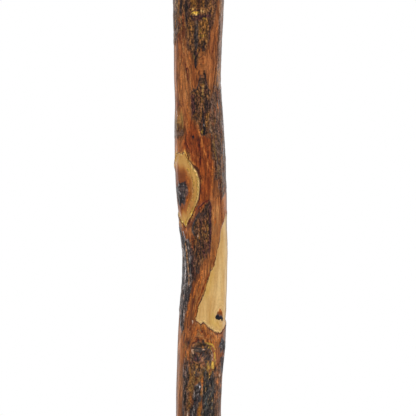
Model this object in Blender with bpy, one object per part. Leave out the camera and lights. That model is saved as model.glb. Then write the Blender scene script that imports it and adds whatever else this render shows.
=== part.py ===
# Crook-handle walking cane, in metres, +Z up.
# A natural knotty stick is the shaft. A steam-bent crook is screwed to its head inside a brass
# collar, and a rubber ferrule with a steel washer in it is pushed on its turned foot.
# The middle of the ferrule's sole is the origin, and the nose of the crook lies towards +X.

import math

import bmesh
import bpy
import numpy as np

MM = 0.001

# The whole cane
OVERALL_HEIGHT = 914 * MM
SEAT_GAP = 0.3 * MM

# Crook handle: a straight neck, a half circle and a short straight nose
CROOK_BEND_RADIUS = 46.5 * MM
CROOK_NECK_LENGTH = 52 * MM
CROOK_NOSE_LENGTH = 27 * MM
CROOK_NECK_RADIUS = 12.6 * MM
CROOK_TOP_RADIUS = 12.2 * MM
CROOK_NOSE_RADIUS = 11.2 * MM
CROOK_DOME_LENGTH = 6.5 * MM
CROOK_SIDES = 24
CROOK_BEND_STEPS = 34

# Collar over the turned tenons of both timbers
COLLAR_LENGTH = 18 * MM
COLLAR_WALL = 1.7 * MM
COLLAR_BEAD_RISE = 0.9 * MM
COLLAR_BEAD_LENGTH = 3 * MM
TENON_RADIUS = 11.1 * MM
SHOULDER_CHAMFER = 0.8 * MM

# Threaded stud inside the joint
STUD_RADIUS = 4 * MM
STUD_LENGTH = 70 * MM
STUD_CHAMFER = 0.8 * MM

# Shaft ends, turned round and true on the axis
SHAFT_HEAD_RADIUS = 12.6 * MM
SHAFT_FOOT_RADIUS = 11.5 * MM
TURNED_RUN = 24 * MM
SPIGOT_RADIUS = 9.5 * MM
SPIGOT_CHAMFER = 1 * MM
SHAFT_SIDES = 28
SHAFT_RING_STEP = 6 * MM

# Natural stick between the turned ends, as three grown stretches with plainer wood between.
# Each row is: distance below the stretch's top, shift of the middle towards +X, half width.
PLAIN_WOOD_LENGTH = 40 * MM
FOOT_PLAIN_LENGTH = 20 * MM
DEPTH_SHARE = 0.97
DEPTH_BOW = 1.6 * MM
DEPTH_BOW_LENGTH = 430 * MM

UPPER_STRETCH = (
    (0 * MM, -0.8 * MM, 12.65 * MM),
    (26 * MM, -0.5 * MM, 12.7 * MM),
    (52 * MM, 0.6 * MM, 12.7 * MM),
    (78 * MM, 0.8 * MM, 12.9 * MM),
    (104 * MM, 1.1 * MM, 13.0 * MM),
    (136 * MM, 0.1 * MM, 13.0 * MM),
    (162 * MM, -0.5 * MM, 12.85 * MM),
    (188 * MM, -1.1 * MM, 12.8 * MM),
    (208 * MM, -1.1 * MM, 12.75 * MM),
)
MIDDLE_STRETCH = (
    (0 * MM, -0.85 * MM, 12.4 * MM),
    (26 * MM, -0.7 * MM, 12.4 * MM),
    (39 * MM, -0.15 * MM, 12.5 * MM),
    (52 * MM, 1.0 * MM, 12.3 * MM),
    (65 * MM, 1.5 * MM, 12.5 * MM),
    (84 * MM, 1.65 * MM, 12.4 * MM),
    (104 * MM, 1.0 * MM, 12.45 * MM),
    (136 * MM, -0.8 * MM, 12.5 * MM),
    (150 * MM, -1.5 * MM, 12.7 * MM),
    (176 * MM, -0.95 * MM, 12.8 * MM),
    (208 * MM, 0.0 * MM, 12.7 * MM),
)
LOWER_STRETCH = (
    (0 * MM, -1.1 * MM, 12.65 * MM),
    (13 * MM, -1.2 * MM, 12.4 * MM),
    (26 * MM, -1.4 * MM, 11.9 * MM),
    (41 * MM, -1.5 * MM, 11.65 * MM),
    (52 * MM, -1.0 * MM, 11.8 * MM),
    (65 * MM, -0.65 * MM, 12.4 * MM),
    (78 * MM, 0.0 * MM, 12.6 * MM),
    (97 * MM, 0.5 * MM, 12.55 * MM),
    (110 * MM, 1.3 * MM, 11.8 * MM),
    (124 * MM, 2.05 * MM, 11.4 * MM),
    (136 * MM, 1.9 * MM, 11.2 * MM),
    (150 * MM, 1.3 * MM, 11.45 * MM),
    (163 * MM, 1.0 * MM, 11.95 * MM),
    (176 * MM, 0.35 * MM, 11.9 * MM),
    (188 * MM, -0.55 * MM, 11.4 * MM),
    (208 * MM, -0.95 * MM, 11.25 * MM),
)

# Knots that swell the stick. Each row is: distance below the stretch's top, facing in degrees
# (0 is the front, -Y, and 90 is +X), half length, half width and rise.
UPPER_KNOTS = (
    (157 * MM, 20, 9 * MM, 8 * MM, 0.7 * MM),
    (70 * MM, 165, 12 * MM, 8 * MM, 0.9 * MM),
)
MIDDLE_KNOTS = (
    (87 * MM, 13, 10 * MM, 9 * MM, 0.6 * MM),
    (161 * MM, -30, 9 * MM, 8 * MM, 0.6 * MM),
    (112 * MM, 195, 14 * MM, 9 * MM, 1.0 * MM),
)
LOWER_KNOTS = (
    (95 * MM, -50, 19 * MM, 9 * MM, 0.5 * MM),
    (158 * MM, 55, 9 * MM, 8 * MM, 0.5 * MM),
    (172 * MM, -4, 6 * MM, 7 * MM, 0.6 * MM),
    (46 * MM, 150, 12 * MM, 9 * MM, 0.9 * MM),
    (140 * MM, 215, 10 * MM, 8 * MM, 0.8 * MM),
)

# Rubber ferrule
FERRULE_HEIGHT = 45 * MM
FERRULE_SOLE_THICKNESS = 12 * MM
FERRULE_SKIRT_WALL = 3.6 * MM
FERRULE_FOOT_RADIUS = 19 * MM
FERRULE_FOOT_HEIGHT = 8 * MM
FERRULE_FOOT_TAPER = 1.2 * MM
FERRULE_FLARE_HEIGHT = 9 * MM
FERRULE_EDGE = 1.4 * MM
FERRULE_RIBS = 3
FERRULE_RIB_PITCH = 5 * MM
FERRULE_RIB_LENGTH = 2.4 * MM
FERRULE_RIB_RISE = 0.9 * MM
FERRULE_SIDES = 40
TREAD_RINGS = 2
TREAD_PAD_RADIUS = 5 * MM
TREAD_PITCH = 5 * MM
TREAD_GROOVE_WIDTH = 1.8 * MM
TREAD_GROOVE_DEPTH = 1.5 * MM

# Steel washer at the bottom of the ferrule's socket
WASHER_THICKNESS = 1.6 * MM
WASHER_HOLE_RADIUS = 3 * MM
WASHER_CHAMFER = 0.3 * MM

TURNED_SIDES = 32

# Heights that follow from the sizes above
bend_height = OVERALL_HEIGHT - CROOK_TOP_RADIUS - CROOK_BEND_RADIUS
crook_foot_height = bend_height - CROOK_NECK_LENGTH
butt_height = crook_foot_height - SEAT_GAP / 2
tenon_length = (COLLAR_LENGTH + SEAT_GAP) / 2
bore_radius = STUD_RADIUS + SEAT_GAP
bore_depth = (STUD_LENGTH + SEAT_GAP) / 2
socket_radius = SPIGOT_RADIUS + SEAT_GAP
washer_height = FERRULE_SOLE_THICKNESS + SEAT_GAP
spigot_foot_height = washer_height + WASHER_THICKNESS + SEAT_GAP
foot_height = FERRULE_HEIGHT + SEAT_GAP
spigot_length = foot_height - spigot_foot_height
shaft_top = butt_height - SEAT_GAP / 2
shaft_length = shaft_top - tenon_length - foot_height


def clear_scene():
    for obj in list(bpy.data.objects):
        bpy.data.objects.remove(obj, do_unlink=True)


def plain_material(name, colour, roughness, metallic=0.0):
    material = bpy.data.materials.new(name)
    material.use_nodes = True
    shader = material.node_tree.nodes["Principled BSDF"]
    shader.inputs["Base Color"].default_value = (*colour, 1)
    shader.inputs["Roughness"].default_value = roughness
    shader.inputs["Metallic"].default_value = metallic
    material.diffuse_color = (*colour, 1)
    return material


def finished_object(name, bm, material, parent, height):
    # Welds the seams, turns the faces outward and sets the piece at its height on the axis.
    bmesh.ops.remove_doubles(bm, verts=bm.verts, dist=0.001 * MM)
    bmesh.ops.recalc_face_normals(bm, faces=bm.faces)
    mesh = bpy.data.meshes.new(name)
    bm.to_mesh(mesh)
    bm.free()
    mesh.shade_smooth()
    mesh.set_sharp_from_angle(angle=math.radians(35))
    mesh.materials.append(material)
    obj = bpy.data.objects.new(name, mesh)
    bpy.context.scene.collection.objects.link(obj)
    obj.parent = parent
    obj.location.z = height - (parent.location.z if parent else 0)
    return obj


def empty_on_axis(name, height):
    empty = bpy.data.objects.new(name, None)
    bpy.context.scene.collection.objects.link(empty)
    empty.empty_display_size = 20 * MM
    empty.location.z = height
    return empty


def turned_body(profile, sides):
    # Spins a profile of (radius, height) points round the Z axis.
    bm = bmesh.new()
    verts = [bm.verts.new((radius, 0, height)) for radius, height in profile]
    edges = [bm.edges.new(pair) for pair in zip(verts, verts[1:])]
    if profile[0][0] > 0:
        edges.append(bm.edges.new((verts[-1], verts[0])))
    bmesh.ops.spin(
        bm,
        geom=verts + edges,
        cent=(0, 0, 0),
        axis=(0, 0, 1),
        angle=2 * math.pi,
        steps=sides,
        use_merge=True,
    )
    return bm


def extruded_body(rings):
    # Grows a closed body from a capped first ring by extruding its rim from ring to ring.
    bm = bmesh.new()
    rim = [bm.verts.new(point) for point in rings[0]]
    bm.faces.new(rim)
    for ring in rings[1:]:
        edges = [bm.edges.get(pair) for pair in zip(rim, rim[1:] + rim[:1])]
        grown = bmesh.ops.extrude_edge_only(bm, edges=edges)["geom"]
        fresh = {vert for vert in grown if isinstance(vert, bmesh.types.BMVert)}
        rim = [
            next(other for edge in vert.link_edges if (other := edge.other_vert(vert)) in fresh)
            for vert in rim
        ]
        for vert, point in zip(rim, ring):
            vert.co = point
    bm.faces.new(rim)
    return bm


def round_ring(radius, height, sides):
    turns = np.linspace(0, 2 * math.pi, sides, endpoint=False)
    return [(radius * math.sin(a), -radius * math.cos(a), height) for a in turns]


def smooth_through(places, values, at):
    # A cubic curve that passes through every value at its place.
    slopes = np.gradient(values, places)
    i = int(np.clip(np.searchsorted(places, at) - 1, 0, len(places) - 2))
    span = places[i + 1] - places[i]
    t = float(np.clip((at - places[i]) / span, 0, 1))
    start = (1 + 2 * t) * (1 - t) ** 2 * values[i] + t * (1 - t) ** 2 * span * slopes[i]
    end = t * t * (3 - 2 * t) * values[i + 1] - t * t * (1 - t) * span * slopes[i + 1]
    return start + end


def smooth_step(value):
    value = min(max(value, 0), 1)
    return value * value * (3 - 2 * value)


def stretch_tops():
    # Heights above the foot of the shaft's body, lower stretch first.
    lower = FOOT_PLAIN_LENGTH + LOWER_STRETCH[-1][0]
    middle = lower + PLAIN_WOOD_LENGTH + MIDDLE_STRETCH[-1][0]
    upper = middle + PLAIN_WOOD_LENGTH + UPPER_STRETCH[-1][0]
    return lower, middle, upper


def stick_stations():
    # (height, shift, half width) from foot to head. The stick is cut to length at its head.
    stations = [(0, 0, SHAFT_FOOT_RADIUS)]
    for top, stretch in zip(stretch_tops(), (LOWER_STRETCH, MIDDLE_STRETCH, UPPER_STRETCH)):
        stations += [(top - below, shift, half) for below, shift, half in reversed(stretch)]
    last_grown = shaft_length - TURNED_RUN / 2
    stations = [station for station in stations if station[0] < last_grown]
    stations.append((shaft_length, 0, SHAFT_HEAD_RADIUS))
    return np.array(stations).T


def stick_knots():
    for top, knots in zip(stretch_tops(), (LOWER_KNOTS, MIDDLE_KNOTS, UPPER_KNOTS)):
        for below, facing, half_length, half_width, rise in knots:
            yield top - below, math.radians(facing), half_length, half_width, rise


def knot_swelling(height, facing, radius):
    rise = 0
    for knot_height, knot_facing, half_length, half_width, knot_rise in stick_knots():
        along = (height - knot_height) / half_length
        across = math.remainder(facing - knot_facing, 2 * math.pi) * radius / half_width
        rise += knot_rise * math.exp(-along * along - across * across)
    return rise


def stick_ring(stations, height):
    # One ring of the natural stick, which grows round and true towards its turned ends.
    places, shifts, halves = stations
    shift = smooth_through(places, shifts, height)
    half = smooth_through(places, halves, height)
    grown = smooth_step(min(height, shaft_length - height) / TURNED_RUN)
    bow = grown * DEPTH_BOW * math.sin(2 * math.pi * height / DEPTH_BOW_LENGTH)
    depth = half * (1 - grown * (1 - DEPTH_SHARE))
    ring = []
    for facing in np.linspace(0, 2 * math.pi, SHAFT_SIDES, endpoint=False):
        rise = grown * knot_swelling(height, facing, half)
        x = shift + (half + rise) * math.sin(facing)
        y = bow - (depth + rise) * math.cos(facing)
        ring.append((x, y, height))
    return ring


def shaft(parent):
    # From the bottom of the stud's bore, over the tenon, down the stick and round the spigot.
    def ring(radius, height):
        return round_ring(radius, height, SHAFT_SIDES)

    tenon_top = shaft_length + tenon_length
    rings = [
        ring(bore_radius, tenon_top - bore_depth),
        ring(bore_radius, tenon_top),
        ring(TENON_RADIUS, tenon_top),
        ring(TENON_RADIUS, shaft_length),
        ring(SHAFT_HEAD_RADIUS - SHOULDER_CHAMFER, shaft_length),
    ]
    stations = stick_stations()
    steps = round((shaft_length - 2 * SHOULDER_CHAMFER) / SHAFT_RING_STEP)
    heights = np.linspace(shaft_length - SHOULDER_CHAMFER, SHOULDER_CHAMFER, steps + 1)
    rings += [stick_ring(stations, height) for height in heights]
    rings += [
        ring(SHAFT_FOOT_RADIUS - SHOULDER_CHAMFER, 0),
        ring(SPIGOT_RADIUS, 0),
        ring(SPIGOT_RADIUS, SPIGOT_CHAMFER - spigot_length),
        ring(SPIGOT_RADIUS - SPIGOT_CHAMFER, -spigot_length),
    ]
    wood = plain_material("shaft_wood", (0.32, 0.11, 0.035), 0.35)
    return finished_object("shaft", extruded_body(rings), wood, parent, foot_height)


def crook_path():
    # (x, height, lean, radius) from the shoulder to the nose. Lean turns from up to down.
    for height in np.linspace(tenon_length + SHOULDER_CHAMFER, CROOK_NECK_LENGTH, 6):
        yield 0, height, 0, CROOK_NECK_RADIUS
    for step in range(1, CROOK_BEND_STEPS + 1):
        share = step / CROOK_BEND_STEPS
        lean = math.pi * share
        x = CROOK_BEND_RADIUS * (1 - math.cos(lean))
        height = CROOK_NECK_LENGTH + CROOK_BEND_RADIUS * math.sin(lean)
        radii = (CROOK_NECK_RADIUS, CROOK_TOP_RADIUS, CROOK_NOSE_RADIUS)
        yield x, height, lean, float(np.interp(share, (0, 0.5, 1), radii))
    nose_end = CROOK_NECK_LENGTH - CROOK_NOSE_LENGTH
    dome_start = nose_end + CROOK_DOME_LENGTH
    for height in np.linspace(CROOK_NECK_LENGTH, dome_start, 4)[1:]:
        yield 2 * CROOK_BEND_RADIUS, height, math.pi, CROOK_NOSE_RADIUS
    for turn in (18, 36, 54, 70, 83):
        angle = math.radians(turn)
        height = dome_start - CROOK_DOME_LENGTH * math.sin(angle)
        yield 2 * CROOK_BEND_RADIUS, height, math.pi, CROOK_NOSE_RADIUS * math.cos(angle)


def crook_ring(x, height, lean, radius):
    ring = []
    for turn in np.linspace(0, 2 * math.pi, CROOK_SIDES, endpoint=False):
        across = radius * math.sin(turn)
        ring.append(
            (
                x + across * math.cos(lean),
                -radius * math.cos(turn),
                height - across * math.sin(lean),
            )
        )
    return ring


def crook_handle(parent):
    def ring(radius, height):
        return round_ring(radius, height, CROOK_SIDES)

    rings = [
        ring(bore_radius, bore_depth),
        ring(bore_radius, 0),
        ring(TENON_RADIUS, 0),
        ring(TENON_RADIUS, tenon_length),
        ring(CROOK_NECK_RADIUS - SHOULDER_CHAMFER, tenon_length),
    ]
    rings += [crook_ring(*place) for place in crook_path()]
    wood = plain_material("crook_wood", (0.30, 0.10, 0.032), 0.3)
    return finished_object("crook_handle", extruded_body(rings), wood, parent, crook_foot_height)


def joint_collar(parent):
    # A tube with a rounded bead at each end.
    bore = TENON_RADIUS + SEAT_GAP
    outer = bore + COLLAR_WALL
    half = COLLAR_LENGTH / 2
    bead_middle = half - COLLAR_BEAD_LENGTH / 2
    bead = []
    for turn in range(0, 181, 30):
        angle = math.radians(turn)
        rise = COLLAR_BEAD_RISE * math.sin(angle)
        bead.append((outer + rise, bead_middle + COLLAR_BEAD_LENGTH / 2 * math.cos(angle)))
    mirrored = [(radius, -height) for radius, height in reversed(bead)]
    profile = [(bore, half)] + bead + mirrored + [(bore, -half)]
    brass = plain_material("collar_brass", (0.55, 0.38, 0.16), 0.35, 1.0)
    body = turned_body(profile, TURNED_SIDES)
    return finished_object("joint_collar", body, brass, parent, butt_height)


def joint_stud(parent):
    half = STUD_LENGTH / 2
    slim = STUD_RADIUS - STUD_CHAMFER
    profile = [
        (0, half),
        (slim, half),
        (STUD_RADIUS, half - STUD_CHAMFER),
        (STUD_RADIUS, STUD_CHAMFER - half),
        (slim, -half),
        (0, -half),
    ]
    steel = plain_material("stud_steel", (0.56, 0.57, 0.58), 0.35, 1.0)
    body = turned_body(profile, TURNED_SIDES)
    return finished_object("joint_stud", body, steel, parent, butt_height)


def tread_profile():
    # The sole from its middle pad outwards, with a ring groove between each two rings of tread.
    points = [(0, 0)]
    for ring in range(TREAD_RINGS):
        inner = TREAD_PAD_RADIUS + ring * TREAD_PITCH
        outer = inner + TREAD_GROOVE_WIDTH
        points += [(inner, 0), (inner, TREAD_GROOVE_DEPTH)]
        points += [(outer, TREAD_GROOVE_DEPTH), (outer, 0)]
    return points


def ferrule_side_profile():
    # The edge of the foot, its taper, the hollow flare, the ribbed skirt and the lip.
    skirt = socket_radius + FERRULE_SKIRT_WALL
    foot_top = FERRULE_FOOT_RADIUS - FERRULE_FOOT_TAPER
    points = [
        (FERRULE_FOOT_RADIUS - FERRULE_EDGE, 0),
        (FERRULE_FOOT_RADIUS - FERRULE_EDGE * 0.3, FERRULE_EDGE * 0.3),
        (FERRULE_FOOT_RADIUS, FERRULE_EDGE),
    ]
    for turn in range(0, 91, 18):
        angle = math.radians(turn)
        radius = skirt + (foot_top - skirt) * (1 - math.sin(angle))
        height = FERRULE_FOOT_HEIGHT + FERRULE_FLARE_HEIGHT * (1 - math.cos(angle))
        points.append((radius, height))
    first_rib = FERRULE_FOOT_HEIGHT + FERRULE_FLARE_HEIGHT + FERRULE_RIB_PITCH / 2
    slope = FERRULE_RIB_RISE / 2
    for rib in range(FERRULE_RIBS):
        low = first_rib + rib * FERRULE_RIB_PITCH
        high = low + FERRULE_RIB_LENGTH
        points += [(skirt, low), (skirt + FERRULE_RIB_RISE, low + slope)]
        points += [(skirt + FERRULE_RIB_RISE, high - slope), (skirt, high)]
    points += [
        (skirt, FERRULE_HEIGHT - FERRULE_EDGE),
        (skirt - FERRULE_EDGE * 0.3, FERRULE_HEIGHT - FERRULE_EDGE * 0.3),
        (skirt - FERRULE_EDGE, FERRULE_HEIGHT),
    ]
    return points


def tip_ferrule(parent):
    socket = [
        (socket_radius, FERRULE_HEIGHT),
        (socket_radius, FERRULE_SOLE_THICKNESS),
        (0, FERRULE_SOLE_THICKNESS),
    ]
    profile = tread_profile() + ferrule_side_profile() + socket
    rubber = plain_material("ferrule_rubber", (0.02, 0.02, 0.021), 0.7)
    body = turned_body(profile, FERRULE_SIDES)
    return finished_object("tip_ferrule", body, rubber, parent, 0)


def ferrule_washer(parent):
    outer = socket_radius - SEAT_GAP
    profile = [
        (WASHER_HOLE_RADIUS, 0),
        (outer - WASHER_CHAMFER, 0),
        (outer, WASHER_CHAMFER),
        (outer, WASHER_THICKNESS - WASHER_CHAMFER),
        (outer - WASHER_CHAMFER, WASHER_THICKNESS),
        (WASHER_HOLE_RADIUS, WASHER_THICKNESS),
    ]
    steel = plain_material("washer_steel", (0.6, 0.6, 0.6), 0.3, 1.0)
    body = turned_body(profile, TURNED_SIDES)
    return finished_object("ferrule_washer", body, steel, parent, washer_height)


def main():
    clear_scene()
    stick = empty_on_axis("stick", foot_height)
    shaft(stick)
    crook_handle(stick)
    joint_collar(stick)
    joint_stud(stick)
    # The ferrule and its washer slide off together along the shaft's axis.
    ferrule = empty_on_axis("ferrule", spigot_foot_height)
    tip_ferrule(ferrule)
    ferrule_washer(ferrule)


main()
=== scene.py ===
# Dresses the crook-handle cane: the natural shaft with its knots and bark, the steam-bent crook,
# the brass collar, the stud, the rubber ferrule and its washer, then the studio and the camera.

import math

import bmesh
import bpy
import numpy as np
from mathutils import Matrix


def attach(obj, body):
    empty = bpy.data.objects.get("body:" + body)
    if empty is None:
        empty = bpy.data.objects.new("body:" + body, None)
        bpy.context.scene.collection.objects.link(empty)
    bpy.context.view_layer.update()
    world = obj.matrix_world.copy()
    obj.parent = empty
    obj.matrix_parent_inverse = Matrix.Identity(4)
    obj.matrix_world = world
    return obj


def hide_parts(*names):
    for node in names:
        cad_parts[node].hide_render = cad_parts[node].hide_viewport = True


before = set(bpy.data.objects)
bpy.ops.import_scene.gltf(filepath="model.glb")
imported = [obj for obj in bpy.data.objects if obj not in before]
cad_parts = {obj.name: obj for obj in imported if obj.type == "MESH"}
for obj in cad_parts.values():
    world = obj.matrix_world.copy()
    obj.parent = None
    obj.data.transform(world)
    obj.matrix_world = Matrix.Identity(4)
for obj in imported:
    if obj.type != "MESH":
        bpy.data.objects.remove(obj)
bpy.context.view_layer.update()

mm = 0.001
fullTurn = 2 * math.pi

# Colours as they show on the finished cane, red, green and blue from 0 to 255, and how far a
# mark of that colour stands out of the wood, in millimetres
palette = {
    "soot": (34, 34, 40, -0.16),
    "charcoal": (66, 58, 56, 0.10),
    "coal": (60, 46, 44, 0.10),
    "crust": (118, 80, 52, 0.12),
    "slate": (72, 70, 78, 0.05),
    "teal": (72, 76, 74, 0.05),
    "plum": (74, 46, 48, 0.06),
    "umber": (82, 48, 32, -0.06),
    "maroon": (84, 36, 22, -0.08),
    "bark": (106, 78, 62, 0.16),
    "mauve": (136, 108, 94, 0.10),
    "ash": (152, 140, 134, 0.14),
    # Painted glints: white where the lacquer catches the light
    "silver": (196, 190, 192, 0.10),
    "olive": (128, 100, 58, 0.06),
    "ochre": (138, 92, 42, 0.08),
    "gold": (198, 155, 60, 0.10),
    "honey": (190, 142, 76, 0),
    "tan": (168, 118, 72, 0.04),
    "straw": (214, 176, 112, 0),
    # A pale pink for pale fibres, also used for painted highlights where the lacquer catches the
    # light
    "shell": (210, 176, 148, 0.04),
    "amber": (164, 92, 42, 0.02),
    "flame": (190, 112, 56, 0.02),
    "ember": (130, 62, 16, 0),
    "rust": (118, 64, 38, 0),
    "wood": (148, 92, 56, 0),
    "paleWood": (208, 168, 108, 0),
}
lacquerHaze = 0.011  # the light that the lacquer adds to every colour

# The natural stick, in mm
stick = {
    "radius": 12.3,  # for places round the stick
    "sides": 28,  # of the plain shaft's rings
    "slimmest": 10.4,  # thinner rings of the plain shaft belong to its turned ends
    "frontReach": 100,  # degrees each side of the front with finer columns
    "footRow": 46.1,
    "headRow": 793.05,
    "footShoulder": 10.7,  # radii of the flat rings next to the spigot and the tenon
    "headShoulder": 11.8,
    "chamfer": 0.8,
    "seams": (293.3, 541.3),  # heights in plain wood where the three finished parts meet
    "seamFade": 6,  # the relief is level this near to the ends of a part
    "fineness": ((112, 48, 0.45), (96, 48, 0.52), (96, 48, 0.52)),  # columns, mm between rows
    "lowerTop": 273.3,  # heights of the three grown stretches' tops
    "middleTop": 521.3,
    "upperTop": 769.3,
    "stretchLength": 208.0,
    "nearness": 0.996,  # the front of the stick is nearer to the eye than its middle
    "edge": 0.985,  # share of the half width, past which marks are spread evenly round the side
    "edgeSpread": 5,
    # Waves in the wood and in the bark: depth, width round the stick, length along it, seed
    "waves": ((0.10, 5, 16, 7), (0.05, 2, 7, 8)),
    "barkWaves": ((0.16, 1.0, 5, 9), (0.096, 0.6, 2.2, 11)),
}
girth = fullTurn * stick["radius"]


def rgb(colour, haze=lacquerHaze, least=0.002):
    # The light of a colour as it shows, less what the lacquer adds to it.
    share = np.array(colour) / 255
    light = np.where(share <= 0.04045, share / 12.92, ((share + 0.055) / 1.055) ** 2.4)
    return np.maximum(light - haze, least)


def stain(name):
    return rgb(palette[name][:3], least=0.003)


def evenTurns(count):
    return np.linspace(0, fullTurn, count, endpoint=False)


def smoothBetween(places, values, at):
    # A cubic curve through rows of values.
    slopes = np.gradient(values, places, axis=0)
    i = np.clip(np.searchsorted(places, at) - 1, 0, len(places) - 2)
    span = (places[i + 1] - places[i])[:, None]
    t = np.clip((at - places[i])[:, None] / span, 0, 1)
    start = (1 + 2 * t) * (1 - t) ** 2 * values[i] + t * (1 - t) ** 2 * span * slopes[i]
    end = t * t * (3 - 2 * t) * values[i + 1] - t * t * (1 - t) * span * slopes[i + 1]
    return start + end


def stickForm(facings, heights):
    # The plain shaft's own rings, read as waves round the stick, give the form at every place.
    points = np.array([vert.co[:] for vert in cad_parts["shaft"].data.vertices]) / mm
    levels = np.round(points[:, 2], 2)
    ringHeights, waves = [], []
    for level in np.unique(levels):
        ring = np.unique(np.round(points[levels == level][:, :2], 4), axis=0)
        out = ring - ring.mean(axis=0)
        if len(ring) == stick["sides"] and np.hypot(*out.T).min() >= stick["slimmest"]:
            turn = np.arctan2(out[:, 0], -out[:, 1])
            ring = np.roll(ring[np.argsort(turn)], -int(np.argmin(np.abs(np.sort(turn)))), axis=0)
            ringHeights.append(level)
            waves.append(np.fft.fft(ring[:, 0] + 1j * ring[:, 1]) / stick["sides"])
    orders = np.fft.fftfreq(stick["sides"], 1 / stick["sides"])
    rows = smoothBetween(np.array(ringHeights), np.array(waves), heights)
    return rows @ np.exp(1j * np.outer(orders, facings))


# How far the grown sides of the lower stretch stand out from the plain shaft, in mm.
# Each row is: distance below the stretch's top, rise of the left side, rise of the right side.
sideGrowth = (
    (0, -0.2, 0.1), (16, -0.25, -0.2), (26, 0.05, -0.15), (36, 0.1, -0.25), (47, 0, -0.65),
    (60, 0, -0.2), (67, -0.15, -0.25), (82, 0.45, -0.4), (89, 0.2, -0.5), (97, 0, 0.05),
    (115, 0.3, 0), (126, -0.4, 0.35), (146, -0.4, 0.6), (155, 0, 0.15), (160, 0, -0.5),
    (168, 0.05, -0.2), (182, 0, 0), (195, 0, 0.3), (206, 0, 0),
)


def growSides(facings, heights):
    downs, left, right = np.array(sideGrowth).T
    below = stick["lowerTop"] - heights
    sides = np.sin(facings)
    rise = np.outer(np.interp(below, downs, left, 0, 0), np.maximum(-sides, 0) ** 2)
    return rise + np.outer(np.interp(below, downs, right, 0, 0), np.maximum(sides, 0) ** 2)


def grownNoise(facings, heights, across, along, seed):
    # Smooth values from -1 to 1 that join up round the stick. across and along are in mm.
    cells = max(4, round(girth / across))
    u = (facings / fullTurn * cells)[None, :]
    v = (heights / along)[:, None]
    table = np.random.default_rng(seed).uniform(-1, 1, (int(v.max()) + 3, cells))
    i, j = np.floor(u).astype(int), np.floor(v).astype(int)
    s, t = u - i, v - j
    s, t = s * s * (3 - 2 * s), t * t * (3 - 2 * t)
    low = table[j, i % cells] * (1 - s) + table[j, (i + 1) % cells] * s
    high = table[j + 1, i % cells] * (1 - s) + table[j + 1, (i + 1) % cells] * s
    return low * (1 - t) + high * t


def oval(x, down, halfWide, halfLong, count=16, reach=1):
    turns = evenTurns(count)
    places = (x + halfWide * reach * np.sin(turns), down - halfLong * reach * np.cos(turns))
    return np.stack(places, axis=-1).ravel()


def segmentGap(a, b, around, up):
    # For every place, the share of the way from a to b that is nearest, and how far off it is.
    run = b - a
    share = np.clip(((around - a[0]) * run[0] + (up - a[1]) * run[1]) / (run @ run), 0, 1)
    return share, np.hypot(around - a[0] - share * run[0], up - a[1] - share * run[1])


def unroll(around, middle):
    # Distances round the stick from a middle, from half a girth on one side to half on the other.
    return (around - middle + girth / 2) % girth - girth / 2


def crossings(a, b, around, up):
    # Whether the line from a to b passes to the right of a place, at its height.
    rise = np.where(a[1] == b[1], 1, b[1] - a[1])
    return ((a[1] > up) != (b[1] > up)) & (around < a[0] + (up - a[1]) / rise * (b[0] - a[0]))


# How the marks are laid, in mm: how softly an edge ends, how far it wanders as fibres do,
# and how deep or high the wood stands at it
laying = {
    "soft": 0.55,
    "softPatch": 0.6,
    "softBark": 1.2,
    "fray": 0.12,
    "frayPatch": 0.3,
    "frayBark": 0.6,
    "frayWash": 0.5,
    "frayCut": 0.18,
    "slope": 0.8,
    "cutDepth": 0.3,
    "cutSlope": 1.2,
    "cutLip": 0.18,
    "cutLipWidth": 0.8,
    "barkShadow": 0.3,  # share of the light that the wood loses next to bark
    "shadowWidth": 1.4,
    "barkLayer": 0.75,  # how strong bark's other colours are
    "barkFlecks": (0.6, 2.4, 0.55, 0, 0.8),  # how its short strokes are strewn
}


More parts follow.
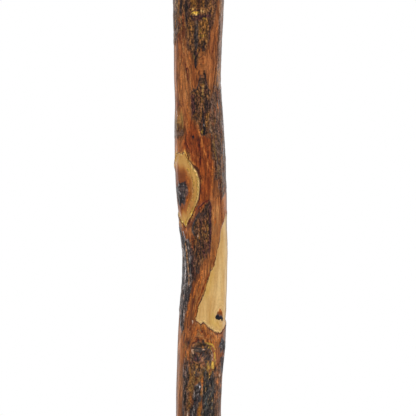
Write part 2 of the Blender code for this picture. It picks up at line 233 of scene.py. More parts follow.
class Brush:
    # Colours and carves the stick. A mark's places are numbers in mm, one after another: x as it
    # is seen from the front, then the distance below the stretch's top.

    def __init__(self, facings, heights, form):
        self.facings, self.heights = facings, heights
        right, left = form.real.max(axis=1), form.real.min(axis=1)
        self.middles, self.halves = (right + left) / 2, (right - left) / 2
        self.around, self.up = np.meshgrid(facings * stick["radius"], heights)
        shape = self.up.shape
        self.cover, self.relief, self.bark, self.grain, self.calm = np.zeros((5, *shape))
        self.colour = np.ones((*shape, 3)) * stain("rust")
        # Stains of the wood, and the painted shade round the bark
        self.stainAndShade = np.ones((*shape, 3))
        self.fleck = np.ones((*shape, 4)) * (*stain("ash"), 0)
        self.pale = np.full(shape, 9.0)  # mm outside the nearest cut
        self.rings = np.full(shape, 30.0)  # mm from that cut's heart
        self.sway = self.noise(0.9, 3.2, 1) + 0.5 * self.noise(0.5, 1.4, 2)
        self.lift = self.noise(0.9, 7.0, 3)
        self.seed = 20
        self.top = stick["headRow"]
        self.facing = None  # degrees round the stick for a mark that isn't seen from the front

    def noise(self, across, along, seed):
        return grownNoise(self.facings, self.heights, across, along, seed)

    def nextSeed(self):
        self.seed += 20
        return self.seed

    def place(self, x, down):
        if self.facing is not None:
            return np.array((math.radians(self.facing) * stick["radius"] + x, self.top - down))
        half = stick["stretchLength"] / 2
        up = self.top - half - (down - half) * stick["nearness"]
        share = x - np.interp(up, self.heights, self.middles)
        share /= np.interp(up, self.heights, self.halves)
        inside = min(max(share, -stick["edge"]), stick["edge"])
        turn = math.asin(inside) + (share - inside) * stick["edgeSpread"]
        return np.array((turn * stick["radius"], up))

    def places(self, numbers):
        return [self.place(*pair) for pair in zip(numbers[::2], numbers[1::2])]

    def near(self, points, margin, fray):
        # The rows near some points, unrolled about their middle, with edges grown into fibres.
        low, high = min(p[1] for p in points) - margin, max(p[1] for p in points) + margin
        rows = slice(*np.searchsorted(self.heights, (low, high)))
        middle = sum(p[0] for p in points) / len(points)
        around = unroll(self.around[rows], middle) + middle
        return rows, around + fray * self.sway[rows], self.up[rows] + 3 * fray * self.lift[rows]

    def outlineGap(self, outline, margin, fray):
        # How far each place near an outline is outside it, and less than nothing inside it.
        points = self.places(outline)
        rows, around, up = self.near(points, margin, fray)
        gap, inside = 99.0, False
        for a, b in zip(points, points[1:] + points[:1]):
            gap = np.minimum(gap, segmentGap(a, b, around, up)[1])
            inside = inside ^ crossings(a, b, around, up)
        return rows, np.where(inside, -gap, gap)

    def lay(self, colour, strength, rows, gap, soft=laying["soft"]):
        cover = strength * np.clip(0.5 - gap / soft, 0, 1)
        reach = np.clip(1.5 - gap / soft, 0, 1) * (1 - self.cover[rows])
        blend = np.maximum(cover, reach)[..., None]
        self.colour[rows] += (stain(colour) - self.colour[rows]) * blend
        self.cover[rows] = np.maximum(self.cover[rows], cover)
        rise = palette[colour][3] * strength
        self.relief[rows] += rise * np.clip(0.5 - gap / laying["slope"], 0, 1)

    def stroke(self, colour, strength, wide, *line):
        # A line that thins towards its ends.
        points = self.places(line)
        rows, around, up = self.near(points, wide + 2, laying["fray"])
        if up.size:
            lengths = [np.hypot(*(b - a)) for a, b in zip(points, points[1:])]
            walked, gap = 0, 99.0
            for a, b, length in zip(points, points[1:], lengths):
                share, away = segmentGap(a, b, around, up)
                whole = (walked + share * length) / sum(lengths)
                thinned = 0.3 + 0.7 * np.sqrt(4 * whole * (1 - whole))
                gap = np.minimum(gap, away - wide / 2 * thinned)
                walked += length
            self.lay(colour, strength, rows, gap)

    def strokes(self, colour, strength, *lines):
        for wide, *line in lines:
            self.stroke(colour, strength, wide, *line)

    def patch(self, colour, strength, *outline, soft=laying["softPatch"]):
        rows, gap = self.outlineGap(outline, 2, laying["frayPatch"])
        self.lay(colour, strength, rows, gap, soft)

    def growBark(self, colours, flecks, many, share, rough, *outline):
        # The first colour fills the outline, and the others come through it in grown patches.
        rows, gap = self.outlineGap(outline, 2, laying["frayBark"])
        first, *others = colours.split()
        seed = self.nextSeed()
        self.lay(first, 1, rows, gap, laying["softBark"])
        inside = np.clip(0.5 - gap, 0, 1)
        self.bark[rows] = np.maximum(self.bark[rows], inside * rough)
        # Painted shade on the wood round the bark, full under it and fading outside it
        shadow = np.exp(-((np.maximum(gap, 0) / laying["shadowWidth"]) ** 2))
        self.stainAndShade[rows] *= 1 - laying["barkShadow"] * shadow[..., None]
        self.fleck[rows] += ((*stain(flecks), many) - self.fleck[rows]) * inside[..., None]
        for colour in others:
            grown = self.noise(1.0, 3.2, seed)[rows] + 0.5 * self.noise(0.5, 1.6, seed + 1)[rows]
            beside = np.maximum(gap + 0.3, (share - grown) * 0.8)
            self.lay(colour, laying["barkLayer"], rows, beside)
            seed += 2
        self.strew(colours + " " + flecks, *laying["barkFlecks"], *outline)

    def strew(self, colours, many, long, wide, lean, strength, *outline):
        # Short strokes strewn over an outline. many is how many there are on a square millimetre.
        draws = np.random.default_rng(self.nextSeed())
        colours = colours.split()
        corners = np.array(outline).reshape(-1, 2)
        sides = corners.T, np.roll(corners, -1, axis=0).T
        (left, high), (right, low) = corners.min(axis=0), corners.max(axis=0)
        for number in range(round(many * (right - left) * (low - high))):
            x, down = draws.uniform(left, right), draws.uniform(high, low)
            length, size, force = draws.uniform(0.5, 1.2, 3)
            if np.count_nonzero(crossings(*sides, x, down)) % 2:
                half = long * length / 2
                line = (x - lean * half, down - half, x + lean * half, down + half)
                colour = colours[number % len(colours)]
                self.stroke(colour, min(strength * force, 1), wide * size, *line)

    def wash(self, colour, strength, soft, *outline):
        # Stains the wood itself, softly.
        rows, gap = self.outlineGap(outline, soft + 1, laying["frayWash"])
        cover = strength * np.clip(0.5 - gap / soft, 0, 1)[..., None]
        bare = np.where(self.pale[rows][..., None] < 0, stain("paleWood"), stain("wood"))
        self.stainAndShade[rows] += (stain(colour) / bare - self.stainAndShade[rows]) * cover

    def washOval(self, colour, strength, soft, *place):
        self.wash(colour, strength, soft, *oval(*place))

    def ease(self, share, soft, *outline):
        # Evens out the wood's own colours.
        rows, gap = self.outlineGap(outline, soft + 1, 0)
        self.calm[rows] = np.maximum(self.calm[rows], share * np.clip(0.5 - gap / soft, 0, 1))

    def cut(self, heartX, heartDown, *outline):
        # A cut through the bark to pale wood, with year rings round a heart.
        heart = self.place(heartX, heartDown)
        rows, gap = self.outlineGap(outline, 6, laying["frayCut"])
        across = unroll(self.around[rows], heart[0])
        away = np.hypot(across, (self.up[rows] - heart[1]) * 0.8)
        nearer = (gap < self.pale[rows]) & (gap < 2)
        self.rings[rows] = np.where(nearer, away, self.rings[rows])
        self.pale[rows] = np.minimum(self.pale[rows], gap)
        self.cover[rows] *= np.clip(0.5 + gap, 0, 1)
        self.relief[rows] -= laying["cutDepth"] * np.clip(0.5 - gap / laying["cutSlope"], 0, 1)
        lip = np.exp(-(((gap - 1) / laying["cutLipWidth"]) ** 2))
        self.relief[rows] += laying["cutLip"] * lip

    def knot(self, x, down, halfWide, halfLong):
        # The grain runs round a knot.
        middle = self.place(x, down)
        rows, around, up = self.near([middle], halfLong * 3, 0)
        away = ((around - middle[0]) / halfWide) ** 2 + ((up - middle[1]) / halfLong) ** 2
        self.grain[rows] -= (around - middle[0]) * np.exp(-away / 2)


# Marks all round the stick and between its three grown stretches. Each row is: kind, height of
# the middle, degrees round the stick from the front, half width and half length, mm.
roundMarks = (
    ("bark", 735, 168, 5.5, 26), ("bark", 690, -118, 4.5, 34), ("cut", 640, 150, 6.0, 9.0),
    ("bark", 600, 205, 6.0, 30), ("slits", 660, 110, 6.0, 30), ("slits", 580, 122, 5.0, 24),
    ("bark", 541, 4, 5.0, 14), ("slits", 552, -50, 5.0, 16), ("slits", 538, 48, 5.0, 14),
    ("cut", 470, 195, 6.5, 10), ("bark", 505, 140, 5.0, 22), ("bark", 420, 160, 6.5, 34),
    ("slits", 450, -125, 5.0, 32), ("bark", 372, -150, 5.5, 26), ("cut", 345, 130, 5.0, 8),
    ("slits", 395, 110, 5.0, 24), ("bark", 293, -12, 5.5, 12), ("slits", 296, 50, 6.0, 14),
    ("slits", 300, -62, 5.0, 14), ("bark", 300, 170, 6.0, 22), ("cut", 215, 150, 6.0, 10),
    ("bark", 246, -152, 5.0, 26), ("bark", 170, 175, 7.0, 30), ("slits", 190, 120, 5.0, 26),
    ("cut", 104, -166, 5.5, 8.0), ("bark", 110, 140, 5.0, 24), ("slits", 140, -120, 5.0, 24),
    ("bark", 56, -10, 5.5, 9), ("slits", 55, 60, 5.0, 7), ("bark", 56, 190, 6.0, 8),
    ("bark", 782, 8, 5.0, 11), ("slits", 781, -60, 5.0, 9), ("slits", 781, 60, 5.0, 9),
)


def paintRoundMark(brush, number, kind, halfWide, halfLong):
    # A patch of bark, an old branch cut flush or a group of dark slits, about the brush's place.
    draws = np.random.default_rng(brush.nextSeed())
    corners = 22
    reach = 1 + draws.uniform(-0.07, 0.07, corners)
    reach += (kind == "bark") * draws.uniform(-0.2, 0.2, corners)
    outline = oval(0, 0, halfWide, halfLong, corners, reach)
    if kind == "bark":
        colours = ("crust coal plum", "charcoal coal mauve")[number % 2]
        brush.growBark(colours, "ochre", 0.3, 0.5, 1, *outline)
    if kind == "slits":
        brush.strew("coal umber flame", 0.07, halfLong / 2, 0.8, 0, 0.8, *outline)
    if kind == "cut":
        heart = (halfWide * 0.15, halfLong * 0.1)
        brush.knot(0, 0, halfWide * 0.8, halfLong * 0.9)
        brush.cut(*heart, *outline)
        for share, colour in ((0.7, "honey"), (0.4, "tan"), (0.2, "rust")):
            brush.washOval(colour, 0.6, 1.6, *heart, halfWide * share, halfLong * share)
        brush.patch("soot", 1, *oval(*heart, 0.4, 0.5), soft=laying["soft"])


def paintAllRound(brush):
    # Long strokes in the wood everywhere, then the marks.
    brush.facing = 0
    length = stick["headRow"] - stick["footRow"]
    wall = (-girth / 2, 0, girth / 2, 0, girth / 2, length, -girth / 2, length)
    brush.strew("maroon flame umber amber", 0.022, 13, 0.5, 0, 0.5, *wall)
    for number, (kind, brush.top, brush.facing, *halves) in enumerate(roundMarks):
        paintRoundMark(brush, number, kind, *halves)
    brush.facing = None


# What the photo shows on three stretches of the stick, one dictionary for each. A row holds what
# the brush's own function of that kind takes: colour, strength, softness or width, then places.
lowerMarks = {
    "top": stick["lowerTop"],
    "knots": (
        (-9, 95, 5, 14), (9.5, 159, 4, 7), (-1, 173, 4, 6), (-11, 60, 3, 6), (0.5, 36, 3, 8),
    ),
    "calm": (
        (0.22, 8, -20, -12, 20, -12, 20, 226, -20, 226),
        (0.5, 3, 5.6, 100, 12, 100, 9, 130, 5.6, 124),
    ),
    "cuts": (
        (-10, 96, -12.3, 79.2, -12.1, 78.2, -11.3, 76.6, -10.5, 76.4, -9.6, 77.6, -8.6, 76.6,
         -6.8, 80.2, -2.3, 86.6, -1.3, 90, -0.7, 94.5, -1.2, 98.6, -2.3, 102.2, -7.5, 114,
         -9.3, 110.5, -11, 107, -13.2, 105, -13.8, 100, -14, 93, -13.7, 87, -13, 82),
        (10, 159, 12.9, 106, 12.3, 109, 10.4, 114.2, 8.7, 126, 6.8, 134.6, 5.5, 135.2, 4.8, 136.8,
         3.4, 144, 2.3, 147.6, -0.4, 152.6, -2.4, 160.6, -0.8, 160.8, 0.2, 161.5, 1.4, 160.9,
         4.4, 164, 8.6, 166.4, 9.9, 166.2, 11.2, 164.6, 14, 158, 14.6, 140, 14, 118, 13.4, 108),
    ),
    "barks": (
        ("crust coal umber bark", "ochre", 0.3, 0.6, 0.8, -14, -4, -5, -4, -5.2, 9, -6.6, 12.5,
         -9.2, 14.5, -11, 17, -12.4, 22, -14, 20),
        ("crust umber coal plum", "ochre", 0.2, 0.55, 0.7, -6, -4, 8.6, -4, 7, 10, 4.7, 15.5,
         3.4, 24.5, 1.6, 25.6, 0, 24, -2.7, 34, -3.6, 29, -5, 25, -6.6, 24.5, -7.6, 20, -7.4, 14,
         -6, 11, -5.4, 8),
        ("crust plum bark umber", "ochre", 0.3, 0.5, 0.9, 1.7, 36, 2.6, 41, 4.7, 46, 5.2, 54,
         3.2, 68, 0.7, 68.3, -2.2, 61.5, -4.6, 58.5, -5.2, 46.4, -2.2, 44.8, -0.9, 41, -0.4, 37,
         0.6, 40),
        ("mauve bark tan", "mauve", 0, 0.35, 0.2, 9.6, -6, 7.9, 37, 6.4, 48, 12, 54, 13, 50,
         13.6, 41, 14.3, 33, 13.8, 25, 14.1, 18, 13.2, 11, 13.3, 3, 12.4, -4, 11, -14),
        ("bark rust charcoal", "ochre", 0.1, 0.5, 0.5, 6.2, 44, 4.6, 57, 4.4, 68, 5, 76, 6.2, 82,
         6.4, 88, 8.4, 91, 9.6, 98, 10.6, 100, 13.2, 92, 14.8, 60, 14, 48, 12, 38, 10, 44,
         8.4, 42),
        ("charcoal coal soot", "mauve", 0, 0.4, 0.6, -10.6, 91.2, -9.4, 90.4, -7.8, 90.8,
         -6.5, 92.4, -6.2, 94.6, -6.7, 97.6, -7.8, 101.4, -9, 103, -10.6, 101.6, -12, 97, -12, 93),
        ("crust umber plum", "ochre", 0.1, 0.35, 0.8, 4.7, 100.2, 5.4, 104, 5.5, 124, 4.7, 126.5,
         1.2, 130.6, -2.6, 141, -4.2, 139, -5.6, 124, -3.4, 117.6, -4.8, 114.8, -3.9, 111.5,
         -2.4, 108.6),
        ("charcoal coal mauve", "ash", 0.3, 0.3, 1, -13, 112.5, -10.4, 112.8, -7.4, 120.4,
         -5.4, 120.8, -3.4, 133, -3.2, 140, -7.4, 158, -8.6, 166, -9.6, 168, -10.4, 156, -13, 156),
        ("crust umber bark plum", "tan", 0.3, 0.3, 1, -4.4, 172.8, -1, 170.2, 0.6, 169.9,
         4.6, 173.2, 5.4, 176, 5.8, 181, 1.4, 181.4, 0.4, 187, -4.6, 186),
        ("charcoal slate soot", "ash", 0.4, 0.35, 1, 9.2, 170.6, 12.9, 170.4, 12.9, 175.6,
         10, 175.4, 9.2, 173),
        ("charcoal coal crust", "mauve", 0.2, 0.25, 1, -8.4, 180.5, -5.4, 180, -5.4, 190,
         -6.8, 204, -7, 213, -8.6, 213),
        ("crust olive umber", "ochre", 0.2, 0.4, 0.5, -5.4, 182, -0.4, 182, 1.2, 187, 0.6, 192.6,
         -2.6, 192.6, -4.6, 204, -6.6, 208),
        ("charcoal soot coal", "ash", 0.3, 0.2, 1, -2.8, 192.4, 0.2, 192, 0.4, 200, -2, 206,
         -2, 213, -6, 213, -5.4, 206, -3.6, 201.6),
        ("charcoal coal teal", "olive", 0.2, 0.5, 1, 1.5, 184, 4, 185, 5.4, 186.5, 7.2, 184,
         7.4, 195, 6.8, 213, 0.9, 213),
        ("bark crust umber", "flame", 0.2, 0.5, 0.6, 7.3, 182, 10.3, 182, 10.6, 188, 10, 213,
         7, 213),
    ),
    "stains": (
        ("maroon", 0.5, 2, -13.5, 14, -9, 13, -7.6, 16, -7.8, 21, -13.5, 21),
        ("rust", 0.5, 2, -5, 33, -1, 33, 0, 38, -1, 43, -5, 45),
        ("tan", 0.2, 3, -12.6, 27, -5, 27, -5, 50, -12.6, 52),
        ("rust", 0.15, 2, 4, 15, 9, 15, 9, 36, 4, 36),
        ("olive", 0.85, 1.5, -14, 60, -12.8, 56, -11, 54, -9.2, 56, -7.8, 66, -12.6, 69,
         -13.7, 64),
        ("tan", 0.9, 1.5, -12.6, 55, -10.8, 55, -10, 59, -12.4, 60),
        ("umber", 0.75, 1.5, -13.6, 63.5, -8.2, 62, -7.6, 65, -8.6, 68.5, -13.6, 69),
        ("ember", 0.8, 2, -7, 56, 0, 68, 4.4, 68, 5.4, 82, 5.2, 96, 4, 100, -3, 108, -8, 116,
         -2, 96, -4, 84, -9, 74, -7, 66),
        ("maroon", 0.25, 2, -8, 66, -3, 66, 4, 70, 4, 78, -2, 82, -7, 77),
        ("honey", 0.9, 1, -14, 76, -6, 76, 0, 90, -0.4, 98, -6, 114, -9, 113, -14, 104),
        ("amber", 0.85, 3, -9.9, 83, -6.8, 86, -4.6, 90, -3.8, 95.4, -4.6, 102.4, -6, 105.6,
         -8.4, 107.6, -13.4, 104, -13.4, 83, -12, 82),
        ("rust", 0.9, 3, -9.9, 85, -7.4, 87.3, -6, 90.3, -5.2, 94, -5.4, 99, -6.8, 102.8,
         -8.6, 105.4, -13.4, 103, -13.4, 86, -11.6, 84.4),
        ("wood", 0.6, 1.5, -9.4, 112, -4.8, 115, -3.6, 118, -4.2, 121, -7, 120.6, -9.4, 115),
        ("tan", 0.4, 2, 6, 103, 9.8, 103, 8.4, 124, 5.8, 124),
        ("honey", 0.3, 4, -3, 150, 3, 143, 7, 130, 9, 118, 8, 140, 6, 155, 7, 168, -3, 163),
        ("gold", 0.35, 2.5, 5, 134, 7.6, 134, 6, 145, 3, 150, 2.4, 147),
        ("gold", 0.45, 2, 5, 158, 7, 156.5, 7.4, 161, 10.6, 162, 9, 165, 4.6, 162.5),
        ("mauve", 0.7, 1, 10, 166, 13, 162, 13, 170, 11.6, 170),
        ("amber", 0.5, 1.5, -5, 161, 6, 165.5, 8.6, 168, 8.4, 172, -4.4, 171.6),
        ("bark", 0.5, 2, -13, 176, -10.6, 176, -10.4, 213, -13, 213),
        ("bark", 0.6, 2, -10.6, 182, -8, 182, -8, 213, -10.4, 213),
    ),
    "patches": (
        ("ochre", 0.8, -4.9, -3, -2.4, -3, -2, 3.2, -4.6, 4),
        ("gold", 0.7, -4.6, 3.9, -3, 4.1, -2.4, 5, -4, 5.3),
        ("plum", 1, -4.9, 7.9, 2.8, 7.8, 3.4, 9.4, 0.4, 9.2, -0.5, 10.6, -4.2, 9.6),
        ("coal", 0.8, 3.3, 5.4, 4.9, 6, 5.2, 10, 3.4, 8.4),
        ("ochre", 0.4, -1, 10.5, 3.9, 10, 3.2, 21.5, -0.6, 21),
        ("gold", 0.7, -0.6, 17.3, 1.6, 17.2, 2.2, 18.3, 0.2, 18.6),
        ("plum", 0.8, -5.1, 47, -3, 48, -2.6, 57, -4.6, 58),
        ("bark", 0.8, -13, 65, -10, 65.6, -8.6, 64.4, -8.2, 68, -10.6, 67.6, -13, 68.6),
        ("coal", 0.8, 1.4, 50, 4.4, 49.5, 4.2, 55, 2, 56),
        ("rust", 1, -1.6, 104.5, -5.4, 112, -5.2, 114.4, -2.4, 108.4, 0.4, 104),
        ("coal", 0.8, 4.2, 101.4, 4.4, 106, 1.6, 108.6, -1.6, 108.4, -0.4, 106),
        ("plum", 0.5, 1.2, 121, 4.2, 120.5, 4.2, 127, 1.6, 129),
        ("slate", 0.6, -4.9, 126, -3.2, 127, -3.4, 134, -4.6, 136),
        ("soot", 0.7, -7.8, 146.4, -5.6, 146, -5.6, 150.6, -7.4, 150.6),
        ("amber", 1, 9.8, 153.2, 11.4, 158, 7.8, 158),
        ("soot", 1, 7.7, 157.6, 9.3, 157.2, 11.3, 157.6, 11.4, 159.4, 10.8, 160, 10.1, 159.2,
         9.5, 159.2, 8.7, 160.5, 7.8, 160.4, 7.2, 158.6),
        ("coal", 0.8, 0.8, 176, 3.8, 176, 4.9, 179.6, 1.2, 180),
        ("coal", 0.8, 9.8, 179, 11.6, 178, 11.4, 186, 10.2, 187),
        ("bark", 0.8, -3.2, 172.6, 0.6, 172.4, 0.8, 174.6, -3.4, 174.8),
        ("ochre", 0.8, 1.9, 180.2, 4.6, 180, 5, 184, 3.6, 185.2),
        ("gold", 0.8, 5.3, 181.6, 6.3, 181.2, 6.8, 183.4, 6.1, 185, 5.4, 184.4),
    ),
    "strewn": (
        ("ochre tan crust", 0.9, 2.4, 0.45, 0, 0.8, -6.6, 10, -3, 10, -3, 25, -6, 22),
        ("ochre tan crust ochre", 0.9, 1.6, 0.45, 0, 0.8, -0.8, 10, 4, 10, 3.2, 24, 0, 24),
        ("crust plum tan coal", 0.8, 0.4, 0.5, 5, 0.9, -4.6, 3, 4, 3, 4, 10.4, -4.6, 10.4),
        ("tan crust coal ochre", 0.6, 3, 0.45, 0, 0.9, -12.6, -3, -8, -3, -8, 10, -12.6, 13),
        ("umber charcoal mauve olive", 0.4, 5, 0.5, 0.05, 0.8, 5.4, 50, 4.6, 62, 5, 76, 6.4, 88,
         10, 96, 12.4, 92, 12.6, 76, 12, 60, 10, 46, 8, 44),
        ("flame tan maroon rust tan", 0.2, 8, 0.55, 0.1, 0.8, -12, 18, -8, 18, -5, 30, -4, 45,
         -6, 62, -8, 66, -8, 56, -12, 52),
        ("flame tan maroon rust flame", 0.24, 6, 0.55, -0.2, 0.8, 5.4, 16, 8.6, 12, 8.4, 30,
         6.6, 42, 4.4, 44, 2.6, 36, -2, 42, -2, 36, 1, 26),
        ("umber amber rust ember", 0.4, 4.4, 0.42, 0.12, 0.8, -7, 70, -4.6, 66, 4, 69, 5, 82,
         5, 97, 1, 100, 0.4, 92, -2, 85, -5, 80),
        ("ember flame rust amber", 0.3, 7, 0.55, 0, 0.6, 5.6, 100, 9.6, 100, 11.6, 106, 9, 124,
         7, 132, 5.8, 134, 5.6, 126),
        ("amber umber maroon", 0.5, 2.4, 0.55, 0, 0.8, -9.6, 86, -7, 89, -5.4, 93, -5.4, 100,
         -8, 105, -10, 105, -7.4, 99, -7.4, 93),
        # Among these strokes in the knot's core, the white ones are painted glints
        ("soot bark coal silver charcoal soot", 0.9, 0.6, 0.45, 0.3, 0.9, -11.6, 92, -8, 92,
         -7.6, 96, -9, 100, -11, 99),
        ("olive crust ochre", 1, 1.4, 0.5, 0, 0.6, 0.4, 109, 4, 108, 4.2, 120.5, 0.2, 120.5),
        ("coal bark plum umber", 0.9, 3, 0.55, 0, 0.8, -5, 121, 0.4, 124, 0.2, 134, -2.4, 140,
         -4.2, 138),
        # Strokes at the left edge; the white ones are painted glints
        ("silver soot ash", 1.4, 0.9, 0.5, 0, 0.8, -8.4, 141, -6.2, 141, -6.6, 147, -8.6, 147),
        ("umber flame tan flame", 1.3, 1.4, 0.4, 0.8, 0.8, -5, 161, 6, 165.5, 8.6, 168, 8.4, 172,
         2, 169.4, -4.4, 171.6, -7.4, 166),
        ("maroon tan", 0.9, 1.4, 0.4, -1, 0.8, -5, 161, 6, 165.5, 8.6, 168, 8.4, 172, 2, 169.4,
         -4.4, 171.6, -7.4, 166),
        ("coal olive flame plum", 0.7, 4, 0.6, 0, 0.9, -8.8, 165, -5.4, 165, -5.2, 182, -8.6, 182),
        ("flame gold", 0.5, 1, 0.55, 0, 0.8, 3, 185.6, 7, 185.6, 6.4, 188.6, 3.2, 188.6),
    ),
    "strokes": (
        ("soot", 1, (0.8, -2, 11, -2.4, 26), (1.2, -3, 26, -2.6, 34), (0.8, 7.3, 45, 7.6, 50.5),
         (1.3, 0.9, 56, 1.9, 64, 1.8, 68), (0.7, 10.8, 60, 12, 71), (0.9, 11.7, 72, 12.1, 81),
         (0.5, -0.9, 61, 0.7, 67.8), (1.5, -3.7, 67.8, -3.7, 69), (0.5, -10.6, 108.6, -9.4, 114),
         (0.6, 0.1, 110, 0.2, 128), (2.4, -10.4, 113.6, -8.7, 120.6, -8, 123, -7.9, 124.8),
         (0.7, -6.9, 120.6, -6, 125, -5, 136), (2.2, -8.8, 127.4, -8.6, 131, -8.7, 142),
         (0.7, -8.2, 152, -9.3, 165), (0.9, 0.4, 169.8, 2.5, 175),
         (0.6, 2.5, 172.2, 4.4, 173.1, 5.2, 174.7, 5.5, 178.6), (0.8, -3.1, 198.6, -3, 201.4),
         (0.6, 7.4, 180.6, 7, 185.4), (0.5, 4.9, 180.4, 4.9, 184.6), (0.5, 2.8, 181, 3, 184)),
        ("soot", 0.7, (0.6, -1.7, 115, -1.9, 130), (0.5, 1.2, 101.6, -1.4, 108)),
        ("coal", 1, (1.1, 2.9, -3, 2.7, 3.4), (1.8, -9.4, -2, -9.5, 7.8), (2, -7.2, -2, -6.6, 12),
         (0.7, 4.9, 12.6, 4.1, 21), (1.5, 1.9, 21, 1.6, 23.5, 1.9, 25.2),
         (1, -6.4, 21.5, -5.8, 24.7), (1, 1.7, 36.4, 3.8, 47.6),
         (0.9, -0.3, 37.5, -0.9, 42, -2.2, 45, -4.8, 46.4), (0.6, -8, 166.6, -8.2, 172),
         (0.9, -6.2, 170, -6.1, 174.6)),
        ("charcoal", 1, (2.2, -1.8, 10, -2.4, 25), (0.8, -11.8, 3, -11.5, 6),
         (0.8, -11.9, 10, -11.7, 17), (0.5, 9.4, 60, 9.2, 90), (0.5, 7.8, 70, 7.9, 84),
         (1.4, -0.7, 105.8, -3.7, 112, -4, 115.4, -2.9, 117.6)),
        ("umber", 1, (0.7, 9.9, 4, 8.3, 27), (0.5, 8.8, 24, 8.7, 32), (0.4, -11.7, 27, -11.6, 38),
         (0.8, 8.2, 27, 7.1, 38, 5.6, 48), (0.3, -10.9, 33, -10.9, 40), (0.5, -2.1, 34, -2.2, 41),
         (0.6, 7.9, 40, 7.7, 47), (0.7, 4.8, 67, 5.4, 80), (0.9, 6.4, 74, 7.2, 88),
         (0.9, -7.2, 75.6, -6.1, 79.4, -1.9, 85.8, -0.6, 90, -0.2, 95, -1.2, 100, -3, 104.6),
         (0.8, -4.6, 81.8, -2.4, 83.6, -0.8, 86.4, 0.1, 90), (0.4, 8.2, 127, 6.6, 134.4,
         5.3, 135.6, 3.2, 144, 2, 147.8, -0.6, 152.4, -2.6, 160)),
        ("umber", 0.7, (2, -0.9, -3, -0.9, 5.5)),
        ("umber", 0.5, (1.6, -2, 184, -1.8, 192)),
        ("plum", 1, (0.5, -4.8, 5.6, -0.6, 5.5), (1, -4.8, 8.2, 1, 8.3, 6, 7.7),
         (0.6, -3.6, 9.4, 1.4, 9.8), (1.4, 4.7, 101, 4.9, 125), (1.4, -2.4, 176.4, -2.4, 181)),
        ("maroon", 1, (0.6, -8.2, 27, -6.4, 40, -5, 45), (0.4, -6.9, 31, -5.9, 39),
         (0.4, -5.2, 68, -4.9, 74.5, -4, 79), (0.8, -1, 68, -0.6, 80, -0.8, 84.5),
         # The last stroke begun on the next line is a painted shadow along the right edge of the
         # first cut
         (0.5, 2.9, 69, 3.4, 80), (0.5, -7.7, 70, -5.2, 78.5), (0.8, -7, 79.2, -1.6, 86.2,
         -0.4, 90.5, -0.1, 95, -0.8, 99.6, -6.2, 112.6), (0.6, 9.3, 90, 10.4, 108),
         # The last stroke begun on the next line is a painted shadow under the lower edge of the
         # second cut
         (0.7, -1.6, 104.4, 1.5, 101.6, 4.6, 99.5), (0.5, -2.9, 160.6, 0.2, 162.1, 1.5, 161.5,
         4.8, 164.8, 8.2, 166.9, 9.8, 167, 11.2, 165.4),
         (0.7, -4.3, 172.6, -3, 171.2, -1, 170, 0.6, 169.7), (0.5, 7.9, 174, 7.8, 180)),
        ("maroon", 0.7, (0.5, -1.8, 146, -3.4, 152, -4.4, 158)),
        ("rust", 1, (1.5, -3.9, 118, -3.2, 124), (1.3, -8.4, 6.5, -8.3, 15),
         (0.8, -10.4, 8, -10.2, 14.5)),
        ("ember", 1, (0.8, 5, 136, 2.8, 141, 1, 146.6, -1.4, 151.6, -3, 158.4)),
        ("olive", 1, (0.8, 1.2, 40.6, 0.8, 50), (0.7, -12.2, 60, -11.4, 65),
         (0.6, -9.4, 58, -8.6, 64), (0.6, -3.3, 27.6, -3.2, 30.2), (0.6, 6.2, 70, 7.3, 80)),
        ("ochre", 1, (0.6, -10.7, 0, -11, 8), (0.6, -4.8, 11, -4.4, 16.5), (0.5, 3.1, 56, 3, 64),
         (0.6, -3.6, 173.2, -1.8, 171.8, 0.2, 171.4, 1.1, 172.8, 1.6, 174.6)),
        ("ochre", 0.7, (1.3, 1.1, -3, 1.3, 3), (0.8, 0.7, 184, 1, 191, 0.7, 198),
         (0.9, -5, 184, -4.8, 196), (1.4, -0.6, 201.5, -0.4, 213)),
        ("amber", 1, (0.5, -9.6, 84.2, -7.6, 86.6, -6.2, 90, -5.7, 94.5, -6, 98.6, -7.8, 104)),
        ("tan", 1, (0.6, -8.4, 83, -4.9, 88, -4.2, 91, -3.9, 94.5, -4.2, 98.6, -6.8, 106)),
        ("olive", 0.9, (0.5, -7, 80.4, -2.9, 87, -2.1, 90, -1.7, 94.5, -2.1, 98.6, -3.4, 102.6,
         -7.6, 111.6)),
        ("amber", 1, (1.2, -4.3, 147, -6.6, 158.5), (0.8, -1.4, 140, -3.6, 150),
         (0.6, 1, 138, -1, 148), (0.6, 0.9, 189, 1, 195), (0.8, 5.7, 80, 5.7, 97)),
        ("amber", 0.7, (1.1, -6.6, 50, -5.8, 64), (0.8, -5, 196, -4.9, 202)),
        ("mauve", 1, (1.7, -9.6, 145, -9.9, 157)),
        ("tan", 1, (1, -7.5, 121, -5.4, 142.5), (1.3, -0.2, 5.4, 2.9, 6.9)),
        ("tan", 0.7, (0.5, -7.5, 82.6, -5.9, 84.6, -4.7, 87, -3.8, 90, -3.3, 94.5, -3.7, 98.6,
         -7.7, 109)),
        ("flame", 1, (0.6, -1.9, 61.5, -0.1, 68.4), (0.5, -5.8, 175, -6.2, 180)),
        ("flame", 0.7, (0.5, -7.3, 27, -6.6, 33), (0.7, -9.2, 30, -9.6, 45),
         (0.8, 8.3, 50.5, 8.7, 56.5), (0.9, 0.3, 68, 0.9, 73, 2.1, 77.5),
         (0.5, -6.4, 74.6, -5.2, 79.2, -3, 82.6), (0.8, 8.3, 190.3, 8.2, 192.6)),
        ("flame", 0.5, (0.7, -1.8, 75, -1.9, 80), (0.8, -3.6, 75, -3.3, 80),
         (0.8, 3.2, 80, 3.6, 88), (0.8, 3.4, 130, -3, 147)),
        ("ash", 1, (0.5, -7.9, 154, -8.2, 158.6)),
        ("ash", 0.7, (0.5, -5.9, 121.4, -5.2, 127), (1.2, 10.3, 172.6, 10.3, 173.8)),
